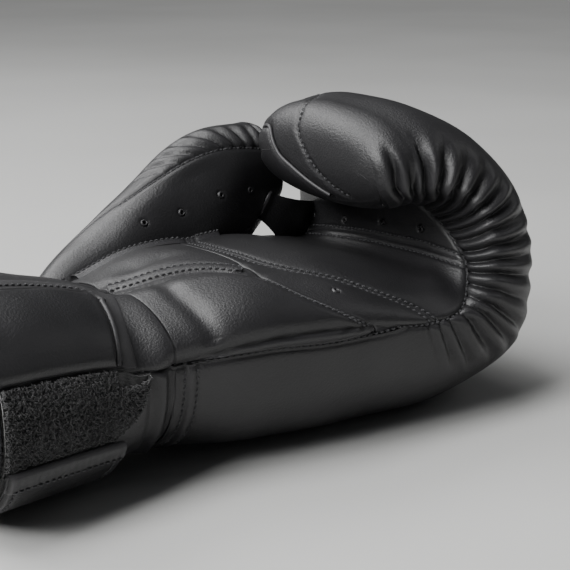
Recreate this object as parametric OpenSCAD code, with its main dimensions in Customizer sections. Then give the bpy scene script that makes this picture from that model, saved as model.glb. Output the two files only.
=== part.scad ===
// Hook-and-loop boxing glove for the left hand, lying on the back of the hand with the palm up.
// X runs from the cuff to the knuckles, Y from the little finger to the thumb, Z up from the table.
// Every padded part is a stack of layers. Each layer is a closed slab between two curved surfaces.

/* [Mitt] */
// Thickness of the outer leather
leather_t = 1.3; // [1:0.1:1.6]
// Thickness of the inner lining
lining_t = 1.0; // [0.8:0.1:1.2]
// Air between neighbouring layers
layer_gap = 0.3; // [0.2:0.05:0.4]
// Air between the padding and the skins on both sides of it
foam_gap = 1.2; // [1:0.1:1.4]
// Bulge of the closed fingertip end beyond its last station
tip_cap = 16; // [10:1:18]
// Sideways lean of the finger roll, as rise over run
roll_lean = 0.03; // [0:0.01:0.05]

/* [Thumb] */
// Length of the rounded thumb tip beyond its last station
thumb_cap = 8; // [6:1:9]
// Clearance between the thumb and the mitt
thumb_gap = 1.2; // [1:0.1:2]
// Foam round the thumb
thumb_foam_t = 7; // [6:0.5:8]
// Width of the strip that ties the thumb to the mitt
lock_w = 13; // [11:1:14]

/* [Cuff] */
// Length of the cuff from the wrist seam to the hand opening
cuff_l = 76; // [74:1:78]
// Thickness of the cuff foam
cuff_foam_t = 4.5; // [4:0.5:5]
// Radius of the rolled binding round the hand opening
binding_r = 3.6; // [3.2:0.1:3.8]
// Height of the padded flap on the palm side of the cuff
flap_t = 3.4; // [3:0.2:4]

/* [Strap] */
// Width of the wrist strap
strap_w = 52; // [46:1:54]
// Thickness of the strap's leather and foam
strap_t = 2.4; // [2:0.1:2.4]
// Thickness of the hook tape, and of the loop patch under it
tape_t = 0.7; // [0.6:0.1:0.7]

/* [Hidden] */

// The stations are drawn about a point on the wrist side of the palm. The row's origin is the
// middle of the base.
row_origin = [-15.17, 8.89, 0];
thumb_edge = 360;  // loop angle of the thumb side; 90 is the back and 270 the palm
little = 180;      // loop angle of the little-finger side of the cuff
seam = 0.6;        // loop angle kept free on each side of a seam

// Mitt stations from the wrist, round the knuckles, to the fingertips:
// palm-side x, z; back-side x, z; half-width to the little finger, to the thumb;
// share of the depth where the mitt is widest on each of those sides; loop angle of the
// little-finger seam; palm wall, hand space and side wall.
MITT = [
    [-74, 67, -74,   8, 45, 44, 0.30, 0.30, 180, 8, 42,  8],
    [-40, 75, -38,   1, 55, 50, 0.28, 0.26, 178, 9, 33, 10],
    [  0, 71,   8,  -2, 61, 55, 0.25, 0.20, 178, 9, 27, 13],
    [ 38, 61,  60,  -2, 64, 60, 0.24, 0.15, 186, 7, 24, 15],
    [ 59, 58, 109,  15, 65, 64, 0.24, 0.12, 212, 6, 20, 16],
    [ 67, 68, 121,  56, 62, 66, 0.26, 0.12, 223, 5, 19, 16],
    [ 66, 82, 112,  94, 58, 64, 0.30, 0.14, 240, 5, 18, 15],
    [ 59, 89,  88, 118, 54, 59, 0.34, 0.18, 250, 5, 16, 14],
    [ 51, 88,  63, 130, 50, 55, 0.38, 0.26, 245, 5, 15, 13],
    [ 45, 86,  43, 129, 45, 49, 0.42, 0.36, 235, 5, 13, 12]
];
mitt_end = len(MITT) - 1;
bend_t = 5.5;      // station where the finger roll bends on the knuckles

// Thumb stations from root to tip: x, y, z, half-height, half-thickness.
THUMB = [
    [-88, 38, 52,  4,  6],
    [-62, 48, 60, 11, 13],
    [-34, 54, 67, 18, 18],
    [ -8, 59, 75, 24, 21],
    [ 18, 63, 86, 26, 20],
    [ 46, 68, 93, 20, 16]
];
thumb_end = len(THUMB) - 1;
thumb_last = 29;            // distance between the last two stations
thumb_seat = [0, -3, -2];   // shift of the thumb's pocket towards the palm

// Cuff stations: x, middle height, half-height, half-width.
CUFF = [
    [-75 - cuff_l,     45,   39,   56],
    [-75 - cuff_l / 2, 42.5, 36.5, 50],
    [-75,              38,   30,   45]
];
strap_lift = 3.5 * layer_gap + 2 * tape_t; // underside of the strap over its two tapes

// ---- curves ----------------------------------------------------------------------------------

function limit(v, lo, hi) = max(lo, min(hi, v));
function power(v, p) = sign(v) * pow(abs(v), p);
function unit(v) = v / norm(v);
function steps(a, b, n) = [for (i = [0:n]) a + (b - a) * i / n];
function flat(rows) = [for (r = rows) each r];

// Smooth curve through the rows of a table, at place t counted in rows.
function row_at(rows, t) =
    let (
        n = len(rows),
        s = limit(t, 0, n - 1.000001),
        i = floor(s),
        u = s - i,
        b = rows[i],
        c = rows[i + 1],
        a = i == 0 ? 2 * b - c : rows[i - 1],
        d = i == n - 2 ? 2 * c - b : rows[i + 2]
    )
    0.5 * (2 * b + (c - a) * u + (2 * a - 5 * b + 4 * c - d) * u * u
        + (3 * b - a - 3 * c + d) * u * u * u);

// ---- surfaces of the mitt ----------------------------------------------------------------------

// Depth and width of a rounded loop at loop angle a. The back is a little squarer than the palm.
function loop_xz(near, level, far, a) =
    let (s = sin(a))
    level + (s >= 0 ? (far - level) * pow(s, 2 / 2.6) : (near - level) * pow(-s, 2 / 2.3));
function loop_y(little_w, thumb_w, a) =
    power(cos(a), 2 / (sin(a) >= 0 ? 2.6 : 2.3)) * (cos(a) < 0 ? little_w : thumb_w);

// One point of a loop, drawn in over the fingertips and leaned with the roll.
function loop_point(near, level, far, little_w, thumb_w, middle_y, over, cap, a) =
    let (
        k = pow(cos(90 * over), 0.8),
        middle = (near + far) / 2,
        d = unit(far - near),
        xz = middle + (loop_xz(near, level, far, a) - middle) * k
            + [-d[1], d[0]] * cap * sin(90 * over),
        y = middle_y + (loop_y(little_w, thumb_w, a) - middle_y) * (0.55 + 0.45 * k)
    )
    [xz[0], y, xz[1] + limit((xz[1] - 70) / 50, 0, 1) * y * roll_lean];

function outer_point(t, a) =
    let (
        s = row_at(MITT, min(t, mitt_end)),
        near = [s[0], s[1]],
        far = [s[2], s[3]]
    )
    loop_point(near, near + (cos(a) < 0 ? s[6] : s[7]) * (far - near), far, s[4], s[5],
        (s[5] - s[4]) / 2, limit(t - mitt_end, 0, 1), tip_cap, a);

function cavity_point(t, a) =
    let (
        s = row_at(MITT, min(t, mitt_end)),
        d = unit([s[2] - s[0], s[3] - s[1]]),
        near = [s[0], s[1]] + d * s[9],
        far = near + d * s[10]
    )
    loop_point(near, (near + far) / 2, far, s[4] - s[11], s[5] - s[11], (s[5] - s[4]) / 2,
        limit(t - mitt_end, 0, 1), tip_cap / 4, a);

// Loop angle of the seam between the back shell and the palm panels, on the little-finger side.
function seam_at(t) = row_at(MITT, min(t, mitt_end))[8];

// A point at a share of the way from the outer face to the hand space, plus some millimetres.
// The outer layers are flattened where the mitt rests on the table.
function mitt_point(t, a, share, mm) =
    let (
        p = outer_point(t, a),
        q = cavity_point(t, a),
        r = p + (q - p) * share + unit(q - p) * mm
    )
    [r[0], r[1], share == 0 ? max(r[2], mm) : r[2]];

// ---- surface of the cuff -----------------------------------------------------------------------

// A point on the cuff at station t and loop angle a, mm millimetres outside its leather.
function cuff_point(t, a, mm) =
    let (s = row_at(CUFF, t))
    [s[0], (s[3] + mm) * power(cos(a), 2 / 2.4), s[1] - (s[2] + mm) * power(sin(a), 2 / 2.4)];

// Station of a place along the cuff.
function cuff_t(x) = (x - CUFF[0][0]) / (cuff_l / 2);

cuff_from = cuff_t(CUFF[0][0] + 2 * binding_r + layer_gap);
strap_from = cuff_t(CUFF[0][0] + 8);
strap_to = cuff_t(CUFF[0][0] + 8 + strap_w);

// Ends of the flap and of the loop patch towards the wrist, at loop angle a.
function flap_to(a) = cuff_t(-86) - 0.5 * pow(limit((a - 215) / 53, 0, 1), 2.2);
function patch_to(a) = cuff_t(-85) - 0.25 * pow(abs(a - 138) / 40, 3);

// ---- solids ------------------------------------------------------------------------------------

function quad(a, b, c, d) = [[a, b, c], [a, c, d]];
function signed_volume(p, tris) =
    [for (t = tris) cross(p[t[0]], p[t[1]]) * p[t[2]]] * [for (t = tris) 1] / 6;

// A closed solid from points and triangles, turned so that its faces look outwards.
module closed(points, tris) {
    turned = [for (t = tris) [t[0], t[2], t[1]]];
    polyhedron(points, signed_volume(points, tris) < 0 ? tris : turned);
}

// A closed solid between two grids of points with the same rows and columns.
module slab(outer, inner) {
    n = len(outer);
    m = len(outer[0]);
    o = function (i, j) i * m + j;
    e = function (i, j) n * m + i * m + j;
    closed(concat(flat(outer), flat(inner)), [
        for (i = [0:n - 2], j = [0:m - 2])
            each quad(o(i, j), o(i + 1, j), o(i + 1, j + 1), o(i, j + 1)),
        for (i = [0:n - 2], j = [0:m - 2])
            each quad(e(i, j), e(i, j + 1), e(i + 1, j + 1), e(i + 1, j)),
        for (i = [0:n - 2]) each quad(o(i, 0), e(i, 0), e(i + 1, 0), o(i + 1, 0)),
        for (i = [0:n - 2])
            each quad(o(i, m - 1), o(i + 1, m - 1), e(i + 1, m - 1), e(i, m - 1)),
        for (j = [0:m - 2]) each quad(o(0, j), o(0, j + 1), e(0, j + 1), e(0, j)),
        for (j = [0:m - 2])
            each quad(o(n - 1, j), e(n - 1, j), e(n - 1, j + 1), o(n - 1, j + 1))
    ]);
}

// A round cord through a list of points, either with two ends or joined into a ring.
module cord(path, r, ring = false, sides = 6) {
    n = len(path);
    p = function (i, k) (i % n) * sides + k % sides;
    rings = [for (i = [0:n - 1])
        let (
            ahead = ring ? path[(i + 1) % n] : path[min(i + 1, n - 1)],
            behind = ring ? path[(i + n - 1) % n] : path[max(i - 1, 0)],
            d = unit(ahead - behind),
            u = unit(cross(d, abs(d[0]) > 0.8 ? [0, 0, 1] : [1, 0, 0])),
            v = cross(d, u)
        )
        each [for (k = [0:sides - 1])
            path[i] + r * (u * cos(360 * k / sides) + v * sin(360 * k / sides))]];
    closed(rings, [
        for (i = [0:n - (ring ? 1 : 2)], k = [0:sides - 1])
            each quad(p(i, k), p(i, k + 1), p(i + 1, k + 1), p(i + 1, k)),
        if (!ring) for (k = [1:sides - 2]) [0, k + 1, k],
        if (!ring) for (k = [1:sides - 2]) [p(n - 1, 0), p(n - 1, k), p(n - 1, k + 1)]
    ]);
}

// How far the palm layers stand back from the thumb side, in loop degrees, for the thumb's mouth.
function thumb_mouth(t) = 58 * pow(sin(limit((t - 0.4) / 1.9, 0, 1) * 180), 0.8);

// A layer of the mitt between stations ta and tb and loop angles aa(t) and ab(t). Its faces lie
// at [share, millimetres] from the outer face.
module mitt_layer(ta, tb, aa, ab, face_a, face_b, nt = 12, na = 14) {
    grid = function (face) [for (t = steps(ta, tb, nt))
        [for (a = steps(aa(t), ab(t), na)) mitt_point(t, a, face[0], face[1])]];
    slab(grid(face_a), grid(face_b));
}

// The back layers run from the thumb side to the seam, and the palm layers from the seam back to
// the thumb side, where they leave the thumb's mouth open. edge is kept free at both ends.
module back_layer(ta, tb, edge, face_a, face_b, nt = 12, na = 14) {
    mitt_layer(ta, tb, function (t) edge, function (t) seam_at(t) - edge, face_a, face_b, nt, na);
}
module palm_layer(ta, tb, edge, face_a, face_b, nt = 12, na = 12) {
    mitt_layer(ta, tb, function (t) seam_at(t) + edge,
        function (t) thumb_edge - edge - thumb_mouth(t), face_a, face_b, nt, na);
}

leather_face = [0, 0];
leather_back = [0, leather_t];
foam_face = [0, leather_t + foam_gap];
foam_back = [1, -lining_t - foam_gap - 0.2];
lining_face = [1, -lining_t];
lining_back = [1, 0];

// A layer of the cuff. Its faces lie out_mm and in_mm outside the cuff's leather at loop angle aa,
// and rise millimetres further out by loop angle ab.
module cuff_layer(ta, tb, aa, ab, out_mm, in_mm, rise = 0, nt = 4, na = 14) {
    grid = function (mm) [for (i = [0:nt])
        [for (j = [0:na])
            let (a = aa + (ab - aa) * j / na, last = is_function(tb) ? tb(a) : tb)
            cuff_point(ta + (last - ta) * i / nt, a, mm + rise * j / na)]];
    slab(grid(out_mm), grid(in_mm));
}

module place() translate(-row_origin) children();

black = [0.075, 0.075, 0.08];
satin = [0.095, 0.095, 0.1];
dark = [0.04, 0.04, 0.045];
grey = [0.16, 0.16, 0.17];
cream = [0.62, 0.6, 0.54];
cloth = [0.11, 0.11, 0.12];

// ---- mitt --------------------------------------------------------------------------------------

module back_shell() {
    color(black) place()
        back_layer(0.06, bend_t - 0.02, seam, leather_face, leather_back, 20, 16);
}

module palm_heel_panel() {
    color(black) place() palm_layer(0.06, 2.72, seam, leather_face, leather_back, 14);
}

module palm_panel() {
    color(satin) place() palm_layer(2.75, 3.68, seam, leather_face, leather_back, 4);
}

module grip_panel() {
    color(black) place() palm_layer(3.71, bend_t - 0.02, seam, leather_face, leather_back, 8);
}

// A cord stands in the seam between the shell and the palm panels.
module mitt_seam_welt() {
    path = [for (t = steps(0.1, bend_t - 0.08, 30)) mitt_point(t, seam_at(t), 0, -1.8)];
    color(dark) place() cord(path, 0.9);
}

// A stitched strip lies on the palm beside the thumb.
module palm_strip() {
    color(satin) place() mitt_layer(0.3, 1.35, function (t) 266 - 10 * pow(t, 1.5),
        function (t) 274 - 10 * pow(t, 1.5), [0, -1.5], [0, -0.5], 8, 3);
}

// The back foam lies in three sheets between the leather and the lining.
module back_foam(face_a, face_b) {
    place() back_layer(0.15, bend_t - 0.04, 2, face_a, face_b, 16, 12);
}

module back_foam_outer() { color(grey) back_foam(foam_face, [0.33, 0]); }
module back_foam_middle() { color(cream) back_foam([0.33, layer_gap], [0.64, 0]); }
module back_foam_inner() { color(grey) back_foam([0.64, layer_gap], foam_back); }

module palm_foam() {
    color(cream) place() palm_layer(0.15, 3.5, 4, foam_face, foam_back, 14);
}

module grip_bar() {
    color(cream) place() palm_layer(3.56, 4.7, 12, foam_face, foam_back, 6);
}

module crease_foam() {
    color(grey) place() palm_layer(4.75, bend_t - 0.06, 4, foam_face, foam_back, 4);
}

module hand_lining() {
    color(cloth) place() mitt_layer(0.06, bend_t - 0.04, function (t) seam,
        function (t) thumb_edge - seam - thumb_mouth(t), lining_face, lining_back, 16, 24);
}

// A short strip holds the thumb beside the mitt.
module thumb_lock() {
    from = [42, 46, 80];
    to = [65, 51, 66];
    along = unit(to - from);
    across = unit(cross(along, [0, 1, 0]));
    sheet = function (mm) [for (u = steps(0, 1, 6)) [for (v = steps(-0.5, 0.5, 3))
        from + (to - from) * u + across * lock_w * v * (0.8 + 0.8 * pow(abs(u - 0.5), 1.5))
            + [0, mm - 2.5 * sin(180 * u), 0]]];
    color(satin) place() slab(sheet(0), sheet(2.2));
}

// ---- finger roll -------------------------------------------------------------------------------

tip_t = mitt_end + 0.96;

module finger_shell() {
    color(black) place()
        back_layer(bend_t + 0.02, tip_t, seam, leather_face, leather_back, 15, 16);
}

module finger_panel() {
    color(satin) place()
        palm_layer(bend_t + 0.02, tip_t, seam, leather_face, leather_back, 14, 8);
}

module finger_foam(face_a, face_b) {
    place() back_layer(bend_t + 0.06, mitt_end + 0.82, 2, face_a, face_b, 14, 12);
}

module finger_foam_outer() { color(grey) finger_foam(foam_face, [0.5, 0]); }
module finger_foam_inner() { color(cream) finger_foam([0.5, layer_gap], foam_back); }

module finger_pad_foam() {
    color(grey) place()
        palm_layer(bend_t + 0.12, mitt_end + 0.7, 6, foam_face, foam_back, 14, 8);
}

module finger_lining() {
    color(cloth) place() mitt_layer(bend_t + 0.04, mitt_end + 0.88, function (t) seam,
        function (t) thumb_edge - seam, lining_face, lining_back, 14, 22);
}

// ---- thumb -------------------------------------------------------------------------------------

// One thin slice of the thumb, drawn in by inset millimetres. It is wider towards the palm.
module thumb_slice(t, inset) {
    on = min(t, thumb_end - inset / thumb_last);
    over = limit(t - thumb_end, 0, 1);
    s = row_at(THUMB, on);
    step = row_at(THUMB, on + 0.02) - row_at(THUMB, on - 0.02);
    d = unit([step[0], step[1], step[2]]);
    up = unit(cross(d, [0, 1, 0]));
    side = cross(up, d);
    at = [s[0], s[1], s[2]] + d * thumb_cap * sin(90 * over);
    h = max((s[3] - inset) * cos(90 * over), 0.5);
    w = max((s[4] - inset) * cos(90 * over), 0.5);
    ring = [for (a = [0:20:340])
        [w * power(cos(a), 2 / 2.4) * (1 - 0.22 * sin(a)), h * power(sin(a), 2 / 2.4)]];
    multmatrix([
        [side[0], up[0], d[0], at[0]],
        [side[1], up[1], d[1], at[1]],
        [side[2], up[2], d[2], at[2]]
    ])
    linear_extrude(0.01) polygon(ring);
}

// The thumb's form as a chain of hulls, which follows its bend.
module thumb_form(inset, from = 0, to = 5.9) {
    all = [0, 0.5, 1, 1.1, 1.2, 1.5, 2, 2.5, 3, 3.5, 4, 4.5, 5, 5.35, 5.65, 5.9];
    ts = [for (t = all) if (t >= from && t <= to) t];
    for (i = [0:len(ts) - 2]) hull() {
        thumb_slice(ts[i], inset);
        thumb_slice(ts[i + 1], inset);
    }
}

// The mitt's outer form, grown by some millimetres, which the thumb stands clear of.
module mitt_form(grow) {
    grid = [for (t = steps(0, 4, 10)) [for (a = steps(0, 345, 23)) mitt_point(t, a, 0, -grow)]];
    n = len(grid);
    m = len(grid[0]);
    ends = [for (row = [grid[0], grid[n - 1]])
        let (sum = [for (p = row) 1] * row) sum / m];
    closed(concat(flat(grid), ends), [
        for (i = [0:n - 2], j = [0:m - 1])
            each quad(i * m + j, i * m + (j + 1) % m, (i + 1) * m + (j + 1) % m, (i + 1) * m + j),
        for (j = [0:m - 1]) [n * m, (j + 1) % m, j],
        for (j = [0:m - 1]) [n * m + 1, (n - 1) * m + j, (n - 1) * m + (j + 1) % m]
    ]);
}

// The pocket in the thumb, grown by some millimetres.
module thumb_pocket(grow) {
    translate(thumb_seat)
        thumb_form(leather_t + thumb_foam_t + lining_t - grow, 1.2 - 0.1 * ceil(grow), 5.7);
}

// What the thumb is trimmed by: the mitt, and the wrist seam at the thumb's root.
module thumb_trim() {
    mitt_form(thumb_gap);
    translate([-120, -50, -20]) cube([46.8, 150, 150]);
}

// Everything on the palm side of the thumb's long seam.
module palm_side(from_y) {
    rotate([14, 0, 9]) translate([-150, from_y - 150, -60]) cube([260, 150, 260]);
}

module thumb_leather() {
    difference() {
        thumb_form(0);
        thumb_form(leather_t, 0.5);
        thumb_trim();
    }
}

module thumb_back_panel() {
    color(black) place() difference() {
        thumb_leather();
        palm_side(78.15);
    }
}

module thumb_inner_panel() {
    color(satin) place() intersection() {
        thumb_leather();
        palm_side(77.85);
    }
}

module thumb_foam() {
    color(grey) place() difference() {
        thumb_form(leather_t + layer_gap, 0.5);
        thumb_pocket(lining_t + layer_gap);
        thumb_trim();
    }
}

module thumb_lining() {
    color(cloth) place() difference() {
        thumb_pocket(lining_t);
        thumb_pocket(0);
        thumb_trim();
    }
}

// ---- cuff --------------------------------------------------------------------------------------

cuff_to = 1.98;
cuff_in = -leather_t - 2 * layer_gap - cuff_foam_t;   // outer face of the cuff's lining

module cuff_back_panel() {
    color(black) place() cuff_layer(cuff_from, cuff_to, seam, little - seam, 0, -leather_t);
}

module cuff_palm_panel() {
    color(black) place()
        cuff_layer(cuff_from, cuff_to, little + seam, thumb_edge - seam, 0, -leather_t);
}

module cuff_flap() {
    color(black) place()
        cuff_layer(cuff_from, function (a) flap_to(a), little + 1, 268, flap_t, flap_t - 1.1);
}

module cuff_flap_foam() {
    color(grey) place() cuff_layer(cuff_from, function (a) flap_to(a), little + 1, 268,
        flap_t - 1.1 - layer_gap, layer_gap);
}

module flap_piping() {
    r = 1.3;
    path = [
        for (a = steps(little + 2, 266, 16)) cuff_point(flap_to(a) + 0.05, a, r + layer_gap),
        for (t = steps(flap_to(268) - 0.02, cuff_from, 5)) cuff_point(t, 270.5, r + layer_gap)
    ];
    color(dark) place() cord(path, r);
}

module wrist_elastic() {
    color(cloth) place() cuff_layer(cuff_from + 0.1, cuff_to - 0.1, 215, 262,
        -leather_t - 2 * layer_gap, -leather_t - 2 * layer_gap - 0.6, 0, 4, 8);
}

module cuff_foam_back() {
    color(grey) place() cuff_layer(cuff_from + 0.04, cuff_to, 2, little - 2,
        -leather_t - layer_gap, cuff_in + layer_gap);
}

module cuff_foam_palm() {
    color(grey) place() cuff_layer(cuff_from + 0.04, cuff_to, little + 2, thumb_edge - 2,
        -leather_t - 4 * layer_gap - 0.6, cuff_in + layer_gap);
}

module cuff_lining() {
    color(cloth) place() cuff_layer(cuff_from, cuff_to, seam, thumb_edge - seam, cuff_in,
        cuff_in - lining_t, 0, 4, 28);
}

// The binding is rolled over the edges of all the cuff's layers.
module opening_binding() {
    path = [for (a = steps(0, 350, 35))
        cuff_point(cuff_t(CUFF[0][0] + binding_r), a, -binding_r)];
    color(dark) place() cord(path, binding_r, true, 8);
}

module wrist_band() {
    color(satin) place()
        cuff_layer(cuff_t(-82), cuff_t(-76), little + 2, thumb_edge - 2, 1.5, layer_gap, 0, 2, 18);
}

module loop_patch() {
    color(dark) place() cuff_layer(strap_from, function (a) patch_to(a), 98, 177,
        layer_gap + tape_t, layer_gap, 0, 6, 12);
}

// ---- strap -------------------------------------------------------------------------------------

module strap_anchor() {
    color(black) place()
        cuff_layer(strap_from, strap_to, 8, 22, layer_gap + strap_t, layer_gap, 0, 4, 4);
}

module strap_base() {
    color(black) place() cuff_layer(strap_from, strap_to, 24, 88, strap_t + 0.5, 0.5,
        strap_lift - 0.5, 4, 12);
}

module strap_tip() {
    color(black) place() cuff_layer(strap_from, strap_to, 90, 146, strap_lift + strap_t,
        strap_lift, 0, 4, 12);
}

module strap_hook_tape() {
    color(dark) place() cuff_layer(strap_from + 0.08, strap_to - 0.08, 100, 141,
        strap_lift - layer_gap, strap_lift - layer_gap - tape_t, 0, 4, 8);
}

module strap_end_binding() {
    r = 1.7;
    path = [for (t = steps(strap_from, strap_to, 5)) cuff_point(t, 149.2, strap_lift - 0.2 + r)];
    color(satin) place() cord(path, r, false, 8);
}

back_shell();
palm_heel_panel();
palm_panel();
grip_panel();
mitt_seam_welt();
palm_strip();
back_foam_outer();
back_foam_middle();
back_foam_inner();
palm_foam();
grip_bar();
crease_foam();
hand_lining();
thumb_lock();
finger_shell();
finger_panel();
finger_foam_outer();
finger_foam_inner();
finger_pad_foam();
finger_lining();
thumb_back_panel();
thumb_inner_panel();
thumb_foam();
thumb_lining();
cuff_back_panel();
cuff_palm_panel();
cuff_flap();
cuff_flap_foam();
flap_piping();
wrist_elastic();
cuff_foam_back();
cuff_foam_palm();
cuff_lining();
opening_binding();
wrist_band();
loop_patch();
strap_anchor();
strap_base();
strap_tip();
strap_hook_tape();
strap_end_binding();
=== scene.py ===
"""Looks of a boxing glove lying palm up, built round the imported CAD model.

Lengths are millimetres in the drawing frame of the CAD source, and `place` turns them into metres in
the row frame. The padded leather is made from the same station tables as the CAD, as dense closed
panels with seams, gathers, stitches and vents in their geometry.
"""
import math
import bpy
import numpy as np
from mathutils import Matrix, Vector

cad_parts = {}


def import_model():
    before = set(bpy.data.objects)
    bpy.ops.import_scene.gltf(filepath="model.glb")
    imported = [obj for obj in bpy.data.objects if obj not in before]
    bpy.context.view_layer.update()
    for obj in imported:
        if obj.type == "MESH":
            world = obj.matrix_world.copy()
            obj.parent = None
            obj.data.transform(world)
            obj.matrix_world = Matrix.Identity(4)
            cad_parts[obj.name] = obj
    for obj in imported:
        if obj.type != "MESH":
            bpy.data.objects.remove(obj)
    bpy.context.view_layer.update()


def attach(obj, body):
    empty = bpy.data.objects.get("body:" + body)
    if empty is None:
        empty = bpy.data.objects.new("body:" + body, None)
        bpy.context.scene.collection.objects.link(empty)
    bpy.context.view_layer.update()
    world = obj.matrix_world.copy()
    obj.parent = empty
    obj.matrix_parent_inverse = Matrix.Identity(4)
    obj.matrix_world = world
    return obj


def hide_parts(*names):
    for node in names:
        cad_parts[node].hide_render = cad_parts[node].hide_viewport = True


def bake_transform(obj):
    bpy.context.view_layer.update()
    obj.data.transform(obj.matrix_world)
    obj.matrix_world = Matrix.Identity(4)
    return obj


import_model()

# ---- driving tables: the CAD's stations, and the strap's own width ---------------------------------

ROW_ORIGIN = np.array([-15.17, 8.89, 0.0])

# palm-side x, z; back-side x, z; half-width to the little finger, to the thumb; share of the depth
# where the mitt is widest on each side; seam angle; palm wall, hand space, side wall
MITT = np.array([
    [-74, 67, -74,   8, 45, 44, 0.30, 0.30, 180, 8, 42,  8],
    [-40, 75, -38,   1, 55, 50, 0.28, 0.26, 178, 9, 33, 10],
    [  0, 71,   8,  -2, 61, 55, 0.25, 0.20, 178, 9, 27, 13],
    [ 38, 61,  60,  -2, 64, 60, 0.24, 0.15, 186, 7, 24, 15],
    [ 59, 58, 109,  15, 65, 64, 0.24, 0.12, 212, 6, 20, 16],
    [ 67, 68, 121,  56, 62, 66, 0.26, 0.12, 223, 5, 19, 16],
    [ 66, 82, 112,  94, 58, 64, 0.30, 0.14, 240, 5, 18, 15],
    [ 59, 89,  88, 118, 54, 59, 0.34, 0.18, 250, 5, 16, 14],
    [ 51, 88,  63, 130, 50, 55, 0.38, 0.26, 245, 5, 15, 13],
    [ 45, 86,  43, 129, 45, 49, 0.42, 0.36, 235, 5, 13, 12],
], float)
MITT_END = 9
TIP_CAP = 16
ROLL_LEAN = 0.03

# x, y, z, half-height, half-thickness
THUMB = np.array([
    [-88, 38, 52,  4,  6],
    [-62, 48, 60, 11, 13],
    [-34, 54, 67, 18, 18],
    [ -8, 59, 75, 24, 21],
    [ 18, 63, 86, 26, 20],
    [ 46, 68, 93, 20, 16],
], float)
THUMB_END = 5
THUMB_CAP = 8

# x, middle height, half-height, half-width
CUFF = np.array([[-151, 45, 39, 56], [-113, 42.5, 36.5, 50], [-75, 38, 30, 45]], float)
STRAP_LIFT = 3.5 * 0.3 + 2 * 0.7
STRAP_T = 2.4
STRAP_X = (-147, -98)          # a little narrower than the CAD's strap


def place(p):
    """Drawing frame in millimetres to row frame in metres."""
    return (np.asarray(p, float) - ROW_ORIGIN) / 1000


# ---- curves ---------------------------------------------------------------------------------------

def row(rows, t):
    """Smooth curve through the rows of a table, at place t counted in rows."""
    t = np.asarray(t, float)
    n = len(rows)
    r = np.vstack([2 * rows[0] - rows[1], rows, 2 * rows[-1] - rows[-2]])
    s = np.clip(t, 0, n - 1.000001)
    i = np.floor(s).astype(int)
    u = (s - i)[..., None]
    a, b, c, d = r[i], r[i + 1], r[i + 2], r[i + 3]
    return 0.5 * (2 * b + (c - a) * u + (2 * a - 5 * b + 4 * c - d) * u**2 + (3 * b - a - 3 * c + d) * u**3)


def power(v, p):
    return np.sign(v) * np.abs(v) ** p


def unit(v):
    return v / np.maximum(np.linalg.norm(v, axis=-1, keepdims=True), 1e-9)


def step(x):
    """Smooth step from 0 to 1."""
    x = np.clip(x, 0, 1)
    return x * x * (3 - 2 * x)


def loop(near, level, far, wl, wt, ym, over, cap, a):
    k = np.cos(np.pi / 2 * over) ** 0.8
    mid = (near + far) / 2
    d = unit(far - near)
    s, c = np.sin(a), np.cos(a)
    back = (far - level) * (np.abs(s) ** (2 / 2.6))[..., None]
    palm = (near - level) * (np.abs(s) ** (2 / 2.3))[..., None]
    xz = level + np.where((s >= 0)[..., None], back, palm)
    y = np.where(s >= 0, power(c, 2 / 2.6), power(c, 2 / 2.3)) * np.where(c < 0, wl, wt)
    xz = mid + (xz - mid) * k[..., None]
    xz = xz + np.stack([-d[..., 1], d[..., 0]], -1) * (cap * np.sin(np.pi / 2 * over))[..., None]
    y = ym + (y - ym) * (0.55 + 0.45 * k)
    z = xz[..., 1]
    z = z + np.clip((z - 70) / 50, 0, 1) * y * ROLL_LEAN
    return np.stack([xz[..., 0], y, z], -1)


def mitt_outer(t, a):
    """The mitt's leather face at station t and loop angle a in degrees: 0 is the thumb side, 90 the
    back, 180 the little-finger side and 270 the palm."""
    t, a = np.broadcast_arrays(np.asarray(t, float), np.radians(np.asarray(a, float)))
    s = row(MITT, np.minimum(t, MITT_END))
    near, far = s[..., 0:2], s[..., 2:4]
    q = np.where(np.cos(a) < 0, s[..., 6], s[..., 7])[..., None]
    over = np.clip(t - MITT_END, 0, 1)
    return loop(near, near + q * (far - near), far, s[..., 4], s[..., 5], (s[..., 5] - s[..., 4]) / 2,
                over, TIP_CAP, a)


def mitt_cavity(t, a):
    """The hand space at the same station and angle."""
    t, a = np.broadcast_arrays(np.asarray(t, float), np.radians(np.asarray(a, float)))
    s = row(MITT, np.minimum(t, MITT_END))
    d = unit(s[..., 2:4] - s[..., 0:2])
    near = s[..., 0:2] + d * s[..., 9:10]
    far = near + d * s[..., 10:11]
    over = np.clip(t - MITT_END, 0, 1)
    return loop(near, (near + far) / 2, far, s[..., 4] - s[..., 11], s[..., 5] - s[..., 11],
                (s[..., 5] - s[..., 4]) / 2, over, TIP_CAP / 4, a)


def seam_at(t):
    """Loop angle of the seam between the shell and the palm panels on the little-finger side."""
    return row(MITT, np.minimum(t, MITT_END))[..., 8]


def seam_line(t):
    """The seam, drawn in to the side of the fingertips past the last station."""
    return seam_at(t) - 54 * step(t - MITT_END)


def thumb_mouth(t):
    return 58 * np.sin(np.clip((t - 0.4) / 1.9, 0, 1) * np.pi) ** 0.8


def cuff_outer(x, a):
    """The cuff's leather face at place x and loop angle a."""
    x, a = np.broadcast_arrays(np.asarray(x, float), np.radians(np.asarray(a, float)))
    s = row(CUFF, (x + 151) / 38)
    y = s[..., 3] * power(np.cos(a), 2 / 2.4)
    z = s[..., 1] - s[..., 2] * power(np.sin(a), 2 / 2.4)
    return np.stack([x, y, z], -1)


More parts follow.
